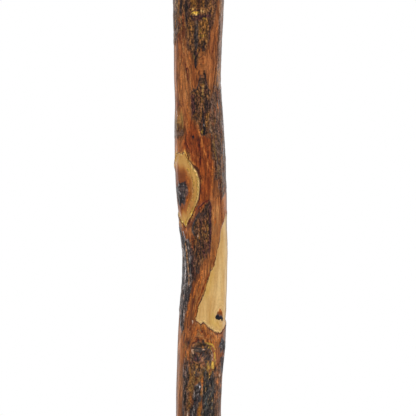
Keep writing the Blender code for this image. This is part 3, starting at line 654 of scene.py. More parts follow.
        ("gold", 1, (1.4, -4, 6.6, -0.7, 6.7), (0.6, 1.2, 9.2, 3, 9.7), (0.8, 0, 14.9, 0, 15.5),
         (1.2, -7.8, 110.2, -7.6, 112.8), (0.9, 0.9, 65.1, 0.9, 66.5),
         (0.7, 2.5, 171.4, 5.6, 172.3, 7.2, 175), (0.5, 3, 173.4, 4.5, 174.1, 5.6, 175.6),
         (0.7, 6.8, 175.6, 7.3, 182), (0.6, 3.6, 181.4, 4.1, 184.4)),
        ("gold", 0.7, (0.4, -7.2, 79.6, -2.8, 87, -1.9, 90, -1.4, 94.5, -1.8, 98.6, -3, 102.4,
         -5.6, 109), (0.4, -8.6, 82.6, -6, 85.2, -4.4, 88, -3.6, 91, -3.2, 94.5, -3.6, 98.6,
         -7.4, 108)),
        ("straw", 1, (0.6, -12.4, 0.2, -11.2, 3), (0.5, -3.6, 7.4, -1.2, 7.4),
         (0.6, 0, 5.2, 1.6, 6), (0.5, -5.8, 80.6, -2.2, 87, -1.3, 90, -0.9, 94.5, -1.3, 98.6,
         # The last stroke begun on the next line is a painted highlight along the lower edge of
         # the second cut
         -2.6, 102.6), (0.6, -2.2, 159.4, 0.2, 160.7, 1.5, 160.2, 4.4, 163.2, 6.9, 165, 8.6, 165.7,
         9.8, 165.4)),
        # Pale pink marks: some are pale fibres, and some are painted highlights where the lacquer
        # catches the light
        ("shell", 1, (0.7, -4, 160, -3.9, 161.4), (1.2, 9.3, 187.4, 9.3, 188.4),
         (0.5, -6.3, 205.6, -6.5, 208.6)),
        ("shell", 0.7, (0.7, -11.9, 55.4, -11.2, 59.4), (0.5, -10.8, 57, -10, 60),
         (0.7, -10.9, 104, -9.4, 109.6), (0.4, -4, 175.4, -2.4, 174.9, -0.4, 175.3, 2, 174.9),
         (0.3, 5.5, 175.4, 5.7, 180)),
        ("shell", 0.5, (0.6, -1.4, 117.7, -1.4, 119.5), (0.4, -3.6, 175.2, -3.4, 177.6)),
        # Painted glints: short white lines where the lacquer catches the light
        ("silver", 1, (0.7, 9.6, 41, 9.9, 47), (0.4, 10.5, 60, 11.1, 65),
         (0.5, 1.6, 62.3, 1.6, 62.9), (0.5, 11, 71.5, 11.2, 78), (0.4, -9, 115.2, -7, 120.4),
         (0.9, -9.3, 120.6, -8.7, 125.4), (0.7, -8.9, 123.6, -7.7, 127.4, -7.2, 141),
         (0.9, -0.4, 193.3, -0.4, 193.9)),
    ),
}

middleMarks = {
    "top": stick["middleTop"],
    "knots": (
        (4, 88, 6, 9), (-7, 160, 5, 9),
    ),
    "calm": (
        (0.5, 8, -20, -18, 20, -18, 20, 226, -20, 226),
    ),
    "cuts": (
        (3.5, 87.6, 11.7, 77.2, 10.6, 78.5, 9.3, 78.1, 8.4, 79.2, 6.7, 78.8, 5, 79.4, 4, 80.7,
         1, 81.6, -1, 82.8, -2.5, 84.6, -3.4, 87, -3.5, 89.4, -2.8, 91.7, -1.4, 93.5, 2, 95.3,
         4.4, 95.5, 8.4, 93.8, 10.4, 93.7, 11.9, 92.2, 12.8, 89, 13.1, 85),
        (-9.2, 162.2, -7.6, 153, -6.4, 152.2, -4.8, 152.1, -3, 152.4, -1.6, 153.8, -0.6, 156,
         -0.3, 161, -1, 162.8, -9.8, 168.5, -11, 167.8, -13.2, 163.6, -13.8, 160, -13, 156.6,
         -11, 154.2),
    ),
    "barks": (
        ("charcoal slate soot", "mauve", 0.1, 0.35, 0.5, -7, 96.8, -5.4, 100, -3.6, 100.6, -2, 105,
         -1.8, 109, -3.1, 117.2, -4.4, 115.6, -5, 117, -6.6, 117, -7.6, 115.8, -8.5, 113,
         -7.9, 106, -8.7, 103),
        ("slate charcoal ash", "ash", 0.2, 0.35, 1, 9.6, 131, 11, 129, 12.6, 128, 13.2, 132,
         14, 137, 13.4, 144, 12.6, 140, 9.4, 141),
    ),
    "stains": (
        ("crust", 0.75, 4, -8, -4, 6, -4, 7.5, 20, 6, 44, 4, 58, -4, 60, -7, 40),
        ("tan", 0.5, 3, -13, -10, -9, -10, -9, 50, -13, 50),
        ("tan", 0.5, 3, 9, -10, 13, -10, 13, 50, 9, 50),
        ("rust", 0.45, 4, -2, 98, 7, 98, 7, 126, -2, 126),
        ("ember", 0.55, 4, -8, 132, 8, 128, 9, 150, 6, 186, -5, 200, -8, 170),
        ("amber", 0.45, 6, -9, 176, 11, 172, 11, 214, -9, 214),
        ("honey", 0.9, 1, -7.6, 152, -2, 152, 0, 158, -1, 164, -8, 169, -13, 164, -12, 155),
    ),
    "ovals": (
        ("honey", 0.6, 1.6, 3.4, 87.9, 5.6, 6.4), ("tan", 0.35, 1.2, 3.4, 87.8, 4.2, 3.4),
        ("tan", 0.4, 1.2, 3.4, 87.8, 2.6, 2.1), ("rust", 0.7, 0.8, 3.3, 87.9, 1.7, 0.9),
        ("tan", 0.5, 0.7, -9.2, 162.3, 3.6, 4), ("rust", 0.6, 0.7, -9.2, 162.3, 2.5, 2.8),
        ("honey", 0.8, 0.7, -9.2, 162.3, 1.5, 1.6), ("rust", 0.6, 0.7, -9.2, 162.3, 0.9, 1),
    ),
    "patches": (
        ("coal", 1, -5.9, 13.4, -4.6, 13.1, -3.2, 13.6, -1.7, 11.2, -1.8, 14, -2.7, 16.4,
         -4.4, 17.1, -5.5, 16),
    ),
    "strewn": (
        ("umber coal bark", 0.2, 5, 0.45, 0.08, 0.7, -9, -2, 8, -2, 9, 60, -9, 60),
        ("rust amber umber", 0.1, 8, 0.45, 0, 0.6, -11, 50, 11, 50, 11, 212, -11, 212),
        ("flame rust", 0.16, 6, 0.6, 0, 0.8, 6, 98, 11, 98, 10.5, 126, 6, 126),
        ("maroon flame umber flame", 0.22, 7, 0.5, -0.22, 0.7, -6, 168, 9, 168, 9, 212, -8, 212),
    ),
    "strokes": (
        ("soot", 1, (0.8, 2.7, 2.6, 4.2, 12.4), (0.7, -1.3, 23, -0.1, 33, 2.7, 42.4),
         (0.7, -5.5, 31.6, -3.8, 43, -2.1, 47.4), (0.6, 8, 40, 8.3, 44, 7.9, 49),
         (1.2, 1.7, 46.5, 1.7, 48.3), (1.4, -8.7, 173.1, -8.7, 175.7)),
        ("coal", 1, (1.3, 0, 1, 0.4, 10.5), (0.5, 6, 4, 6.2, 10, 7.2, 14),
         (0.7, -8.6, 14, -7.8, 28), (0.7, -7.2, 19, -6.6, 25), (0.6, -3.4, 21, -3.5, 31),
         (0.6, 5.2, 32, 6.2, 40), (0.5, -7.7, 40, -7.3, 48.6), (0.6, 7.9, 130, 7.6, 134, 7.9, 138),
         (1, -7.9, 177, -6.9, 181.6)),
        ("coal", 0.7, (0.5, 2.2, 101, 2.1, 107.5)),
        ("umber", 1, (1.2, 4.2, 187.5, 4.2, 190.5)),
        ("umber", 0.7, (0.9, 1.2, 111.6, 1, 116.4)),
        ("maroon", 1, (0.6, -2.6, 152, -0.8, 154, 0.2, 158, 0.1, 161.4, -1.2, 163.8, -5.4, 166.8)),
        ("slate", 0.7, (0.9, -10.8, 50, -9.9, 70)),
        ("slate", 0.5, (0.7, -10, 99, -9.5, 118)),
    ),
}

upperMarks = {
    "top": stick["upperTop"],
    "knots": (
        (4, 158, 5, 6),
    ),
    "calm": (
        (0.35, 8, -20, -18, 20, -18, 20, 222, -20, 222),
    ),
    "barks": (
        ("bark charcoal coal", "ash", 0.2, 0.1, 0.6, -8.4, 10, -1.4, 8.4, 0.2, 10, 0.6, 16,
         0.2, 22, -3.4, 25, -5.6, 25.5, -6.6, 27.5, -7.6, 23),
        ("bark coal mauve", "ash", 0.1, 0.35, 0.6, 3.8, -4, 9.6, -4, 9.6, 26, 8.4, 27, 6.6, 25,
         5.6, 31, 4.4, 30),
        ("rust coal umber", "olive", 0.3, 0.2, 1, -1, 62, 1, 63, 5, 60, 6.4, 66, 6.8, 92, 5.4, 108,
         5.2, 117, 2.4, 119.5, 0.6, 117.6, -0.6, 101, -2.6, 98, -5, 98.5, -6, 90, -5.2, 74,
         -3.4, 67),
        ("slate plum coal", "ash", 0.2, 0.35, 1, 8, 69, 10.8, 71, 11, 76.4, 9.4, 77, 8, 74),
        ("ash slate mauve", "ash", 0.2, 0.35, 0.5, -13.5, 166.6, -10.8, 167, -10.6, 174,
         -13.5, 175),
        ("charcoal teal rust", "olive", 0.3, 0.2, 1, 4.2, 165.4, 6.8, 169, 8.7, 170.4, 7.4, 173,
         5.6, 173, 4.6, 175, 3, 176.4, 1.4, 175, 0.7, 168.4, 2.6, 168),
        ("bark coal charcoal", "ash", 0.2, 0.35, 0.6, -7.7, 196, -5.6, 194, -1.6, 193, 0.6, 189,
         2.4, 196, 4, 187, 7, 190, 8.8, 196, 9.4, 206, 8, 216, -6, 218, -7.9, 208, -8.3, 200),
    ),
    "stains": (
        ("tan", 0.6, 3, 8, 112, 13, 112, 13, 186, 9, 186),
        ("tan", 0.5, 3, -13, 14, -8, 14, -9, 62, -13, 62),
        ("crust", 0.6, 4, -7, 24, 8, 30, 8, 62, -6, 62),
        ("rust", 0.5, 4, 0, 120, 4.4, 119, 7.6, 128, 9, 150, 9, 168, 2, 168, 0, 150),
    ),
    "patches": (
        ("ash", 0.8, -12.6, 59.4, -9.8, 59.6, -9.6, 63.6, -12.6, 64.4),
        ("coal", 1, 1.4, 104.6, 4.8, 104, 5.2, 110, 4.8, 117, 2.4, 119, 0.6, 117),
        ("slate", 0.7, 1.2, 113, 4, 112, 4.2, 116.6, 1.4, 117.2),
        ("slate", 0.9, 7.2, 115.8, 9, 115.4, 9.9, 116.8, 8.9, 118.2, 7.3, 118),
        ("rust", 0.7, -0.6, 156.6, 2, 155.6, 6, 155.4, 9, 156.6, 8.6, 158.6, 5.4, 159.6, 1.4, 160),
        ("plum", 0.8, 0, 202, 3, 202, 3, 210, 0.4, 210),
    ),
    "strewn": (
        ("umber coal flame maroon bark", 0.11, 13, 0.45, 0, 0.8, -11, -4, 11, -4, 11, 212,
         -11, 212),
        ("ochre rust", 0.9, 1.5, 0.55, 0, 0.8, -4, 11, -0.6, 11, -0.6, 18, -4, 18),
        ("flame tan", 0.3, 12, 0.5, 0, 0.7, -11, 16, -8, 16, -8, 62, -11.4, 62),
        ("olive umber", 0.6, 1.2, 0.45, 0, 0.6, -3, 44, 4, 44, 4, 60, -3, 60),
        ("soot coal amber soot", 0.3, 9, 0.8, 0, 0.9, -5, 68, 6, 64, 6.4, 98, -5, 98),
        # The whitest strokes in this row and the next are painted glints
        ("ash olive shell", 1.1, 2.4, 0.45, 0, 0.8, -5.6, 72, -3.4, 72, -3.2, 98, -5.6, 98),
        ("silver shell", 0.6, 0.8, 0.4, 0, 0.8, -3, 73, -1.2, 73, -1, 87, -3, 87),
        ("flame ember flame maroon", 0.3, 8, 0.55, 0, 0.8, -10, 136, 0, 136, 0, 172, -10, 172),
    ),
    "strokes": (
        ("soot", 1, (1.2, 1.4, -2, 1.1, 20, 1.4, 34.6), (0.8, 3.4, 31, 4.4, 48.4)),
        ("coal", 1, (0.9, -7.9, -4, -7.9, 10), (0.6, 5.2, 28, 5.2, 43), (0.7, -8.2, 70, -8.3, 98),
         (0.5, 8.5, 79, 8.6, 90), (0.5, 10.2, 100, 10.4, 112), (0.7, -5.3, 100, -5.2, 105),
         (0.5, -8.4, 139, -8.2, 147), (1.1, -6.8, 172.6, -6.6, 177.6), (0.6, -3.2, 173, -3, 180),
         (0.7, -9.3, 175, -9.1, 185), (0.6, 8.8, 176, 8.7, 190), (1, -2.6, 179, -1.7, 195),
         (0.6, -4.7, 181, -4.4, 192), (0.7, -8, 188, -8.2, 200)),
        ("umber", 1, (1, -5, -4, -4.9, 9), (0.5, -3.2, 26, -2.9, 43),
         (0.8, -2.1, 105, -2, 114, -2.5, 126)),
        ("plum", 1, (1.2, -2.1, -4, -1.8, 9)),
        ("maroon", 0.7, (0.9, 1, 163.8, 4, 162.6, 7.4, 163)),
        ("slate", 1, (1.3, -9.8, 97, -9.8, 105.4), (2.6, 4.2, 155.8, 4.2, 157)),
        ("amber", 1, (1, 3, 6, 3.2, 30), (1.2, -2.6, 71, -2, 83), (1.2, 2.6, 79, 2.8, 88),
         (1, -0.6, 95, -1.2, 101, -0.8, 105), (1.1, 2.5, 188, 2.5, 201)),
        ("mauve", 1, (1.2, 9.6, 180, 9.8, 206)),
        ("flame", 1, (1.2, 7.2, 82, 7.3, 88.4), (0.7, 3.4, 122, 2, 130), (0.7, 3, 132, 4, 137)),
        ("ash", 1, (0.5, 1.1, 89, 1.2, 98)),
    ),
}


def paintStretch(brush, marks):
    brush.top = marks["top"]
    jobs = {
        "knots": brush.knot, "calm": brush.ease, "cuts": brush.cut, "barks": brush.growBark,
        "stains": brush.wash, "ovals": brush.washOval, "patches": brush.patch,
        "strewn": brush.strew, "strokes": brush.strokes,
    }
    for kind, work in jobs.items():
        for row in marks.get(kind, ()):
            work(*row)


def shaftColumns(front, back):
    reach = math.radians(stick["frontReach"])
    near = np.linspace(-reach, reach, front, endpoint=False)
    far = np.linspace(reach, fullTurn - reach, back, endpoint=False)
    return np.concatenate((near, far))


def endRings():
    # The turned ends, read off the plain shaft: rings of (radius, height) below and above.
    points = np.array([vert.co[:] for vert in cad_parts["shaft"].data.vertices]) / mm
    radii, heights = np.hypot(points[:, 0], points[:, 1]), points[:, 2]
    low, high = heights.min(), heights.max()
    tip, spigot = radii[heights == low].max(), radii[heights < stick["footRow"] - 2].max()
    bore, tenon = radii[heights == high].min(), radii[heights == high].max()
    boreDepth = heights[radii < 5].min()
    foot, head = stick["footRow"] - stick["chamfer"], stick["headRow"] + stick["chamfer"]
    below = [(tip, low), (spigot, low + 1), (spigot, foot), (stick["footShoulder"], foot)]
    above = [(stick["headShoulder"], head), (tenon, head), (tenon, high), (bore, high)]
    return below, above + [(bore, boreDepth)]


def gridFaces(rows, columns, closed):
    # Faces of four sides between the rows of a body round the axis, closed where the last row
    # meets the first one.
    index = np.arange(rows * columns).reshape(rows, columns)
    if closed:
        index = np.concatenate((index, index[:1]))
    beside = np.roll(index, -1, axis=1)
    corners = (index[:-1], beside[:-1], beside[1:], index[1:])
    return np.stack(corners, axis=-1).reshape(-1, 4).tolist()


def newMesh(name, x, y, z, faces):
    mesh = bpy.data.meshes.new(name)
    mesh.from_pydata((np.stack((x, y, z), axis=-1).reshape(-1, 3) * mm).tolist(), [], faces)
    return mesh


def addLayer(mesh, name, values, kind="FLOAT", entry="value"):
    layer = mesh.attributes.new(name, kind, "POINT")
    layer.data.foreach_set(entry, values.astype(np.float32).ravel())


def paintedStick(low, high, facings, heights, outward):
    # The stick's form between two heights, carved and painted.
    form = stickForm(facings, heights) + growSides(facings, heights) * outward
    brush = Brush(facings, heights, form)
    paintAllRound(brush)
    for marks in (lowerMarks, middleMarks, upperMarks):
        if low < marks["top"] < high:
            paintStretch(brush, marks)
    for deep, *waves in stick["waves"]:
        brush.relief += deep * brush.noise(*waves)
    for deep, *waves in stick["barkWaves"]:
        brush.relief += brush.bark * deep * brush.noise(*waves)
    inward = np.minimum(heights - low, high - heights) / stick["seamFade"]
    brush.relief *= np.clip(inward, 0, 1)[:, None]
    return brush, form + brush.relief * outward


def buildShaftPart(name, material, low, high, fineness):
    # One of the three parts of the shaft, with a turned end where it is the last one.
    front, back, step = fineness
    facings = shaftColumns(front, back)
    heights = np.linspace(low, high, round((high - low) / step) + 1)
    outward = np.sin(facings) - 1j * np.cos(facings)
    brush, surface = paintedStick(low, high, facings, heights, outward)
    below, above = endRings()
    below = below if low == stick["footRow"] else []
    above = above if high == stick["headRow"] else []
    sides = len(facings)

    def widen(values, filler):
        ends = [np.full((len(part), *values.shape[1:]), filler) for part in (below, above)]
        return np.concatenate((ends[0], values, ends[1]))

    flat = [radius * outward for radius, height in below]
    flat = np.array([*flat, *surface, *(radius * outward for radius, height in above)])
    tall = [height for radius, height in below], heights, [height for radius, height in above]
    tall = np.concatenate(tall)[:, None] + np.zeros(sides)
    count = len(flat)
    faces = gridFaces(count, sides, False)
    faces += [list(range(sides - 1, -1, -1)), list(range((count - 1) * sides, count * sides))]
    mesh = newMesh(name, flat.real, flat.imag, tall, faces)
    mesh.shade_smooth()
    sharp = {0, count - 1, *range(len(below)), *range(count - len(above), count)}
    pairs = np.array([edge.vertices[:] for edge in mesh.edges]) // sides
    level = (pairs[:, 0] == pairs[:, 1]) & np.isin(pairs[:, 0], list(sharp))
    mesh.attributes.new("sharp_edge", "BOOLEAN", "EDGE").data.foreach_set("value", level)
    radius = stick["radius"]
    turned = facings + widen(brush.grain, 0) / radius
    grain = np.stack((radius * np.sin(turned), -radius * np.cos(turned), tall), axis=-1)
    paint = np.concatenate((brush.colour, brush.cover[..., None]), axis=-1)
    addLayer(mesh, "grain", grain, "FLOAT_VECTOR", "vector")
    addLayer(mesh, "stainAndShade", widen(brush.stainAndShade, 1), "FLOAT_VECTOR", "vector")
    addLayer(mesh, "pale", widen(brush.pale, -6))
    addLayer(mesh, "rings", widen(brush.rings, 30))
    addLayer(mesh, "bark", widen(brush.bark, 0))
    addLayer(mesh, "calm", widen(brush.calm, 0))
    addLayer(mesh, "paint", widen(paint, 0), "FLOAT_COLOR", "color")
    addLayer(mesh, "fleck", widen(brush.fleck, 0), "FLOAT_COLOR", "color")
    addPiece(name, mesh, material, "shaft", "stick")


def buildShaft(material):
    heights = (stick["footRow"], *stick["seams"], stick["headRow"])
    names = ("shaftLower", "shaftMiddle", "shaftUpper")
    for part in zip(names, heights, heights[1:], stick["fineness"]):
        buildShaftPart(part[0], material, *part[1:])


class Wire:
    # An output of a node. A sum or a product with a wire in it makes the node that works it out.

    def __init__(self, tree, socket):
        self.tree, self.socket = tree, socket

    def also(self, name):
        return Wire(self.tree, self.socket.node.outputs[name])

    def math(self, operation, *others, clamp=False):
        values = (self, *others)
        return addNode(self.tree, "ShaderNodeMath", values, operation=operation, use_clamp=clamp)

    def __add__(self, other):
        return self.math("ADD", other)

    def __sub__(self, other):
        return self.math("SUBTRACT", other)

    def __rsub__(self, other):
        return addNode(self.tree, "ShaderNodeMath", (other, self), operation="SUBTRACT")

    def __mul__(self, other):
        return self.math("MULTIPLY", other)

    def __truediv__(self, other):
        return self.math("DIVIDE", other)

    def vector(self, operation, *others, output=0):
        values = (self, *others)
        return addNode(self.tree, "ShaderNodeVectorMath", values, output, operation=operation)

    def times(self, other):
        # A colour or a place times another one, or times a number.
        return self.vector("MULTIPLY", other)

    def length(self):
        return self.vector("LENGTH", output="Value")

    def split(self):
        x = addNode(self.tree, "ShaderNodeSeparateXYZ", (self,))
        return x, x.also("Y"), x.also("Z")

    def spread(self, low, high, fromLow=0.0, toHigh=1.0, kind="SMOOTHSTEP"):
        # Maps low to high onto fromLow to toHigh.
        values = (self, low, high, fromLow, toHigh)
        return addNode(self.tree, "ShaderNodeMapRange", values, interpolation_type=kind)

    def mixed(self, share, colour):
        inputs = {0: share, 6: self, 7: colour}
        return addNode(self.tree, "ShaderNodeMix", inputs, 2, data_type="RGBA")

    def ramp(self, *stops):
        # Each stop is a place and a colour as it shows.
        ramp = addNode(self.tree, "ShaderNodeValToRGB", (self,))
        marks = ramp.socket.node.color_ramp.elements
        while len(marks) < len(stops):
            marks.new(0.5)
        for mark, (place, colour) in zip(marks, stops):
            mark.position = place
            mark.color = (*rgb(colour), 1)
        return ramp

    def noise(self, stretch, scale, detail=3.0, roughness=0.5, distortion=0.0):
        # Noise that is drawn out along the grain.
        place = self.times((1, 1, 1 / stretch))
        inputs = {"Vector": place, "Scale": scale, "Detail": detail}
        inputs |= {"Roughness": roughness, "Distortion": distortion}
        return addNode(self.tree, "ShaderNodeTexNoise", inputs)

    def thinLines(self, stretch, scale, width, distortion):
        # 1 along thin wandering lines that run with the grain, 0 between them.
        away = (self.noise(stretch, scale, 2, 0.5, distortion) - 0.5).math("ABSOLUTE")
        return away.spread(width, width * 0.3)


def addNode(tree, kind, inputs=(), output=0, **settings):
    # Makes a node, gives it its wires and values, and returns one of its outputs.
    node = tree.nodes.new(kind)
    for name, value in settings.items():
        setattr(node, name, value)
    inputs = inputs if isinstance(inputs, dict) else dict(enumerate(inputs))
    for key, value in inputs.items():
        if isinstance(value, Wire):
            tree.links.new(value.socket, node.inputs[key])
        else:
            node.inputs[key].default_value = value
    return Wire(tree, node.outputs[output]) if node.outputs else None


def emptyTree(owner):
    # The node tree of a new material or world, with nothing in it.
    owner.use_nodes = True
    owner.node_tree.nodes.clear()
    return owner.node_tree


def readLayer(tree, name, output="Fac"):
    return addNode(tree, "ShaderNodeAttribute", (), output, attribute_name=name)


def bumped(tree, height, strength, distance):
    inputs = {"Strength": strength, "Distance": distance * mm, "Height": height}
    return addNode(tree, "ShaderNodeBump", inputs)


woodLook = {
    "tones": ((0.34, (74, 34, 20)), (0.43, (118, 64, 36)), (0.50, (156, 92, 50)),
              (0.59, (186, 116, 64)), (0.70, (206, 140, 82))),
    "cutTones": ((0.28, (196, 148, 84)), (0.66, (222, 186, 126))),
    "deep": (74, 34, 20),
    # Pores, and the painted shadow round the edges of the cuts
    "pore": (52, 24, 18),
    "plain": (144, 89, 54),
    "ringLine": (176, 124, 66),
    "crack": (28, 24, 26),
    "roughness": 0.45,
    "coatRoughness": 0.12,
    "knotRadius": 12,  # mm from the middle line, where a small knot's heart lies
    "lacquerWaves": (0.3, 0.10),  # strength and height in mm of the relief
    "woodWaves": (0.7, 0.16),
    # How a noise darkens and lightens: its low and high value, then what the light is times there
    "fibreLight": (0.34, 0.66, 0.62, 1.36),
    "gritLight": (0.32, 0.68, 0.82, 1.18),
    "cutLight": (0.34, 0.66, 0.95, 1.04),
    # Thin lines: as a noise's first two numbers, then their width and distortion
    "slits": (9, 0.6, 0.024, 0.4),
    "cracks": (6, 1.0, 0.06, 0.6),
    "poreDarkness": 0.7,
    "crackDarkness": 0.85,
    "ringWander": 3.0,  # mm that the year rings follow the flame
    "ringRate": 4.4,  # radians of the rings' wave per mm
    "ringDarkness": 0.30,
    # Noises: how many times longer along the grain than across, how fine they are per mm,
    # then detail, roughness and distortion
    "noises": {
        "flame": (8, 0.8, 3, 0.55, 0.8),
        "broad": (4, 0.13, 2, 0.5),
        "fibres": (7, 1.15, 2, 0.6, 0.3),
        "grit": (1.2, 1.35, 1, 0.5),
        "pores": (3, 1.9, 2, 0.5),
        "cutEdge": (2, 1.1, 3, 0.6),
        "cutClouds": (5, 0.3, 4, 0.6),
        "markEdge": (5, 1.5, 3, 0.65),
        "strands": (2.8, 1.1, 1.5, 0.55, 0.3),
        "shadows": (3.4, 1.05, 1.5, 0.55, 0.3),
    },
}


def woodNoise(grain, name):
    return grain.noise(*woodLook["noises"][name])


def shade(name):
    return (*rgb(woodLook[name]), 1)


def knotCores(grain, knots):
    # 1 in the hearts of small knots and falling to 0 round them.
    cores = 0.0
    for degrees, along, halfWide, halfLong in knots:
        turn = math.radians(degrees)
        radius = woodLook["knotRadius"]
        middle = (radius * math.sin(turn), -radius * math.cos(turn), along)
        away = grain.vector("SUBTRACT", middle).times((1 / halfWide, 1 / halfWide, 1 / halfLong))
        cores = (1.0 - away.length() * 0.5).math("MAXIMUM", cores)
    return cores


def openCuts(tree, grain, wood, flame, fibres, grit):
    # Wood with pale cuts, their year rings and the shadow round their edges, then stained and
    # darkened by the painted shade round the bark.
    rings = readLayer(tree, "rings")
    gap = (woodNoise(grain, "cutEdge") - 0.5) * 1.6 + readLayer(tree, "pale")
    clean = woodNoise(grain, "cutClouds").ramp(*woodLook["cutTones"])
    clean = clean.times(fibres.spread(*woodLook["cutLight"]))
    clean = clean.times(grit.spread(*woodLook["cutLight"]))
    wave = ((flame * woodLook["ringWander"] + rings) * woodLook["ringRate"]).math("SINE")
    ring = wave.spread(0.1, 1.0, 0.0, woodLook["ringDarkness"])
    clean = clean.mixed(ring * rings.spread(10.0, 3.0), shade("ringLine"))
    wood = wood.mixed(gap.spread(0.12, -0.12), clean).times(readLayer(tree, "stainAndShade", "Vector"))
    shadow = (gap - 0.35).math("ABSOLUTE").spread(0.35, 0.05, 0.0, 0.75)
    return wood.mixed(shadow, shade("pore"))


def addMarks(tree, grain, wood, grit):
    # Marks and bark, with ragged edges, light flecks and black cracks, and their height.
    paint, fleck = readLayer(tree, "paint", "Color"), readLayer(tree, "fleck", "Color")
    bark = readLayer(tree, "bark")
    cover = (woodNoise(grain, "markEdge") - 0.5) * 1.8 + paint.also("Alpha")
    strands = woodNoise(grain, "strands")
    shadows = woodNoise(grain.vector("ADD", (40, 0, 0)), "shadows")
    change = strands.spread(0.36, 0.64, bark * -0.24 + 0.80, bark * 0.28 + 1.22, "LINEAR")
    colour = paint.times(change)
    change = grit.spread(0.34, 0.66, bark * -0.38 + 0.60, bark * 0.80 + 1.40, "LINEAR")
    colour = colour.times(change)
    colour = colour.mixed(shadows.spread(0.44, 0.33, 0.0, 0.9) * bark, shade("crack"))
    green = addNode(tree, "ShaderNodeSeparateColor", (paint,), 1)
    spark = (fleck.also("Alpha") * 0.12 + strands).spread(0.58, 0.72, 0.0, 0.85)
    colour = colour.mixed(spark * green.spread(0.004, 0.06) * bark, fleck)
    crack = grain.thinLines(*woodLook["cracks"]) * bark
    colour = colour.mixed(crack * woodLook["crackDarkness"], shade("crack"))
    height = (1.0 - shadows - crack * 0.5) * (bark * 3.0)
    return wood.mixed(cover.spread(0.34, 0.58), colour), height


def stainedWood(name, marked, knots=()):
    # Stained wood under clear lacquer. A marked one also has cuts, bark and painted marks.
    material = bpy.data.materials.new(name)
    tree = emptyTree(material)
    grain = readLayer(tree, "grain", "Vector")
    flame, broad, fibres, grit, pores = (
        woodNoise(grain, name) for name in ("flame", "broad", "fibres", "grit", "pores")
    )
    wood = (flame * 0.5 + broad * 0.5).ramp(*woodLook["tones"])
    wood = wood.times(fibres.spread(*woodLook["fibreLight"]))
    wood = wood.times(grit.spread(*woodLook["gritLight"]))
    pore = pores.spread(0.62, 0.70, 0.0, woodLook["poreDarkness"])
    slit = grain.thinLines(*woodLook["slits"]) * woodLook["poreDarkness"]
    pore = pore.math("MAXIMUM", slit)
    wood = wood.mixed(pore, shade("pore"))
    height = pore * -0.8 + fibres
    if knots:
        core = (flame - 0.5) * 0.5 + knotCores(grain, knots)
        wood = wood.mixed(core.spread(0.2, 0.55, 0.0, 0.9), shade("deep"))
        wood = wood.mixed(core.spread(0.72, 0.8), shade("crack"))
    if marked:
        wood = wood.mixed(readLayer(tree, "calm"), shade("plain"))
        wood = openCuts(tree, grain, wood, flame, fibres, grit)
        wood, crust = addMarks(tree, grain, wood, grit)
        height = crust + height
    shader = {
        "Base Color": wood,
        "Roughness": woodLook["roughness"],
        "Specular IOR Level": 0.05,
        "Coat Weight": 1.0,
        "Coat Roughness": woodLook["coatRoughness"],
        "Coat IOR": 1.5,
        "Normal": bumped(tree, height, *woodLook["woodWaves"]),
        "Coat Normal": bumped(tree, height, *woodLook["lacquerWaves"]),
    }
    surface = addNode(tree, "ShaderNodeBsdfPrincipled", shader)
    addNode(tree, "ShaderNodeOutputMaterial", (surface,))
    return material


def addObject(name, data):
    obj = bpy.data.objects.new(name, data)
    bpy.context.scene.collection.objects.link(obj)
    return obj


def addPiece(name, mesh, material, node, body):
    mesh.materials.clear()
    mesh.materials.append(material)
    piece = addObject(name, mesh)
    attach(piece, body)
    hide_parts(node)
    print(name + ": faces", len(mesh.polygons))


def grownMesh(name, sizes, material, build):
    # Runs a node tree that has one named input for each size in mm, and keeps the plain mesh.
    tree = bpy.data.node_groups.new(name, "GeometryNodeTree")
    sockets = tree.interface
    sockets.new_socket("Geometry", in_out="OUTPUT", socket_type="NodeSocketGeometry")
    identifiers = {}
    for key, value in sizes.items():
        kind = "NodeSocketInt" if isinstance(value, int) else "NodeSocketFloat"
        socket = sockets.new_socket(key, in_out="INPUT", socket_type=kind)
        identifiers[key] = socket.identifier
    given = addNode(tree, "NodeGroupInput")
    grown = build(tree, {key: given.also(key) for key in sizes})
    small = addNode(tree, "GeometryNodeTransform", {"Geometry": grown, "Scale": (mm, mm, mm)})
    real = addNode(tree, "GeometryNodeRealizeInstances", (small,))
    smooth = addNode(tree, "GeometryNodeSetShadeSmooth", (real,))
    inputs = {"Geometry": smooth, "Material": material}
    addNode(tree, "NodeGroupOutput", (addNode(tree, "GeometryNodeSetMaterial", inputs),))
    holder = addObject(name, bpy.data.meshes.new(name))
    modifier = holder.modifiers.new(name, "NODES")
    modifier.node_group = tree
    for key, value in sizes.items():
        modifier[identifiers[key]] = value
    seen = holder.evaluated_get(bpy.context.evaluated_depsgraph_get())
    mesh = bpy.data.meshes.new_from_object(seen)
    mesh.name = name
    bpy.data.objects.remove(holder, do_unlink=True)
    return mesh


def startRod(tree, size, depth):
    # A rod of radius 1 along Z, and the x, y and z of its places.
    inputs = {"Vertices": size["Sides"], "Side Segments": size["Rows"], "Radius": 1.0}
    inputs["Depth"] = depth
    rod = addNode(tree, "GeometryNodeMeshCylinder", inputs, "Mesh", fill_type="NGON")
    return rod, *addNode(tree, "GeometryNodeInputPosition").split()


def combine(tree, *parts):
    return addNode(tree, "ShaderNodeCombineXYZ", parts)


def moveTo(tree, geometry, place):
    return addNode(tree, "GeometryNodeSetPosition", {"Geometry": geometry, "Position": place})


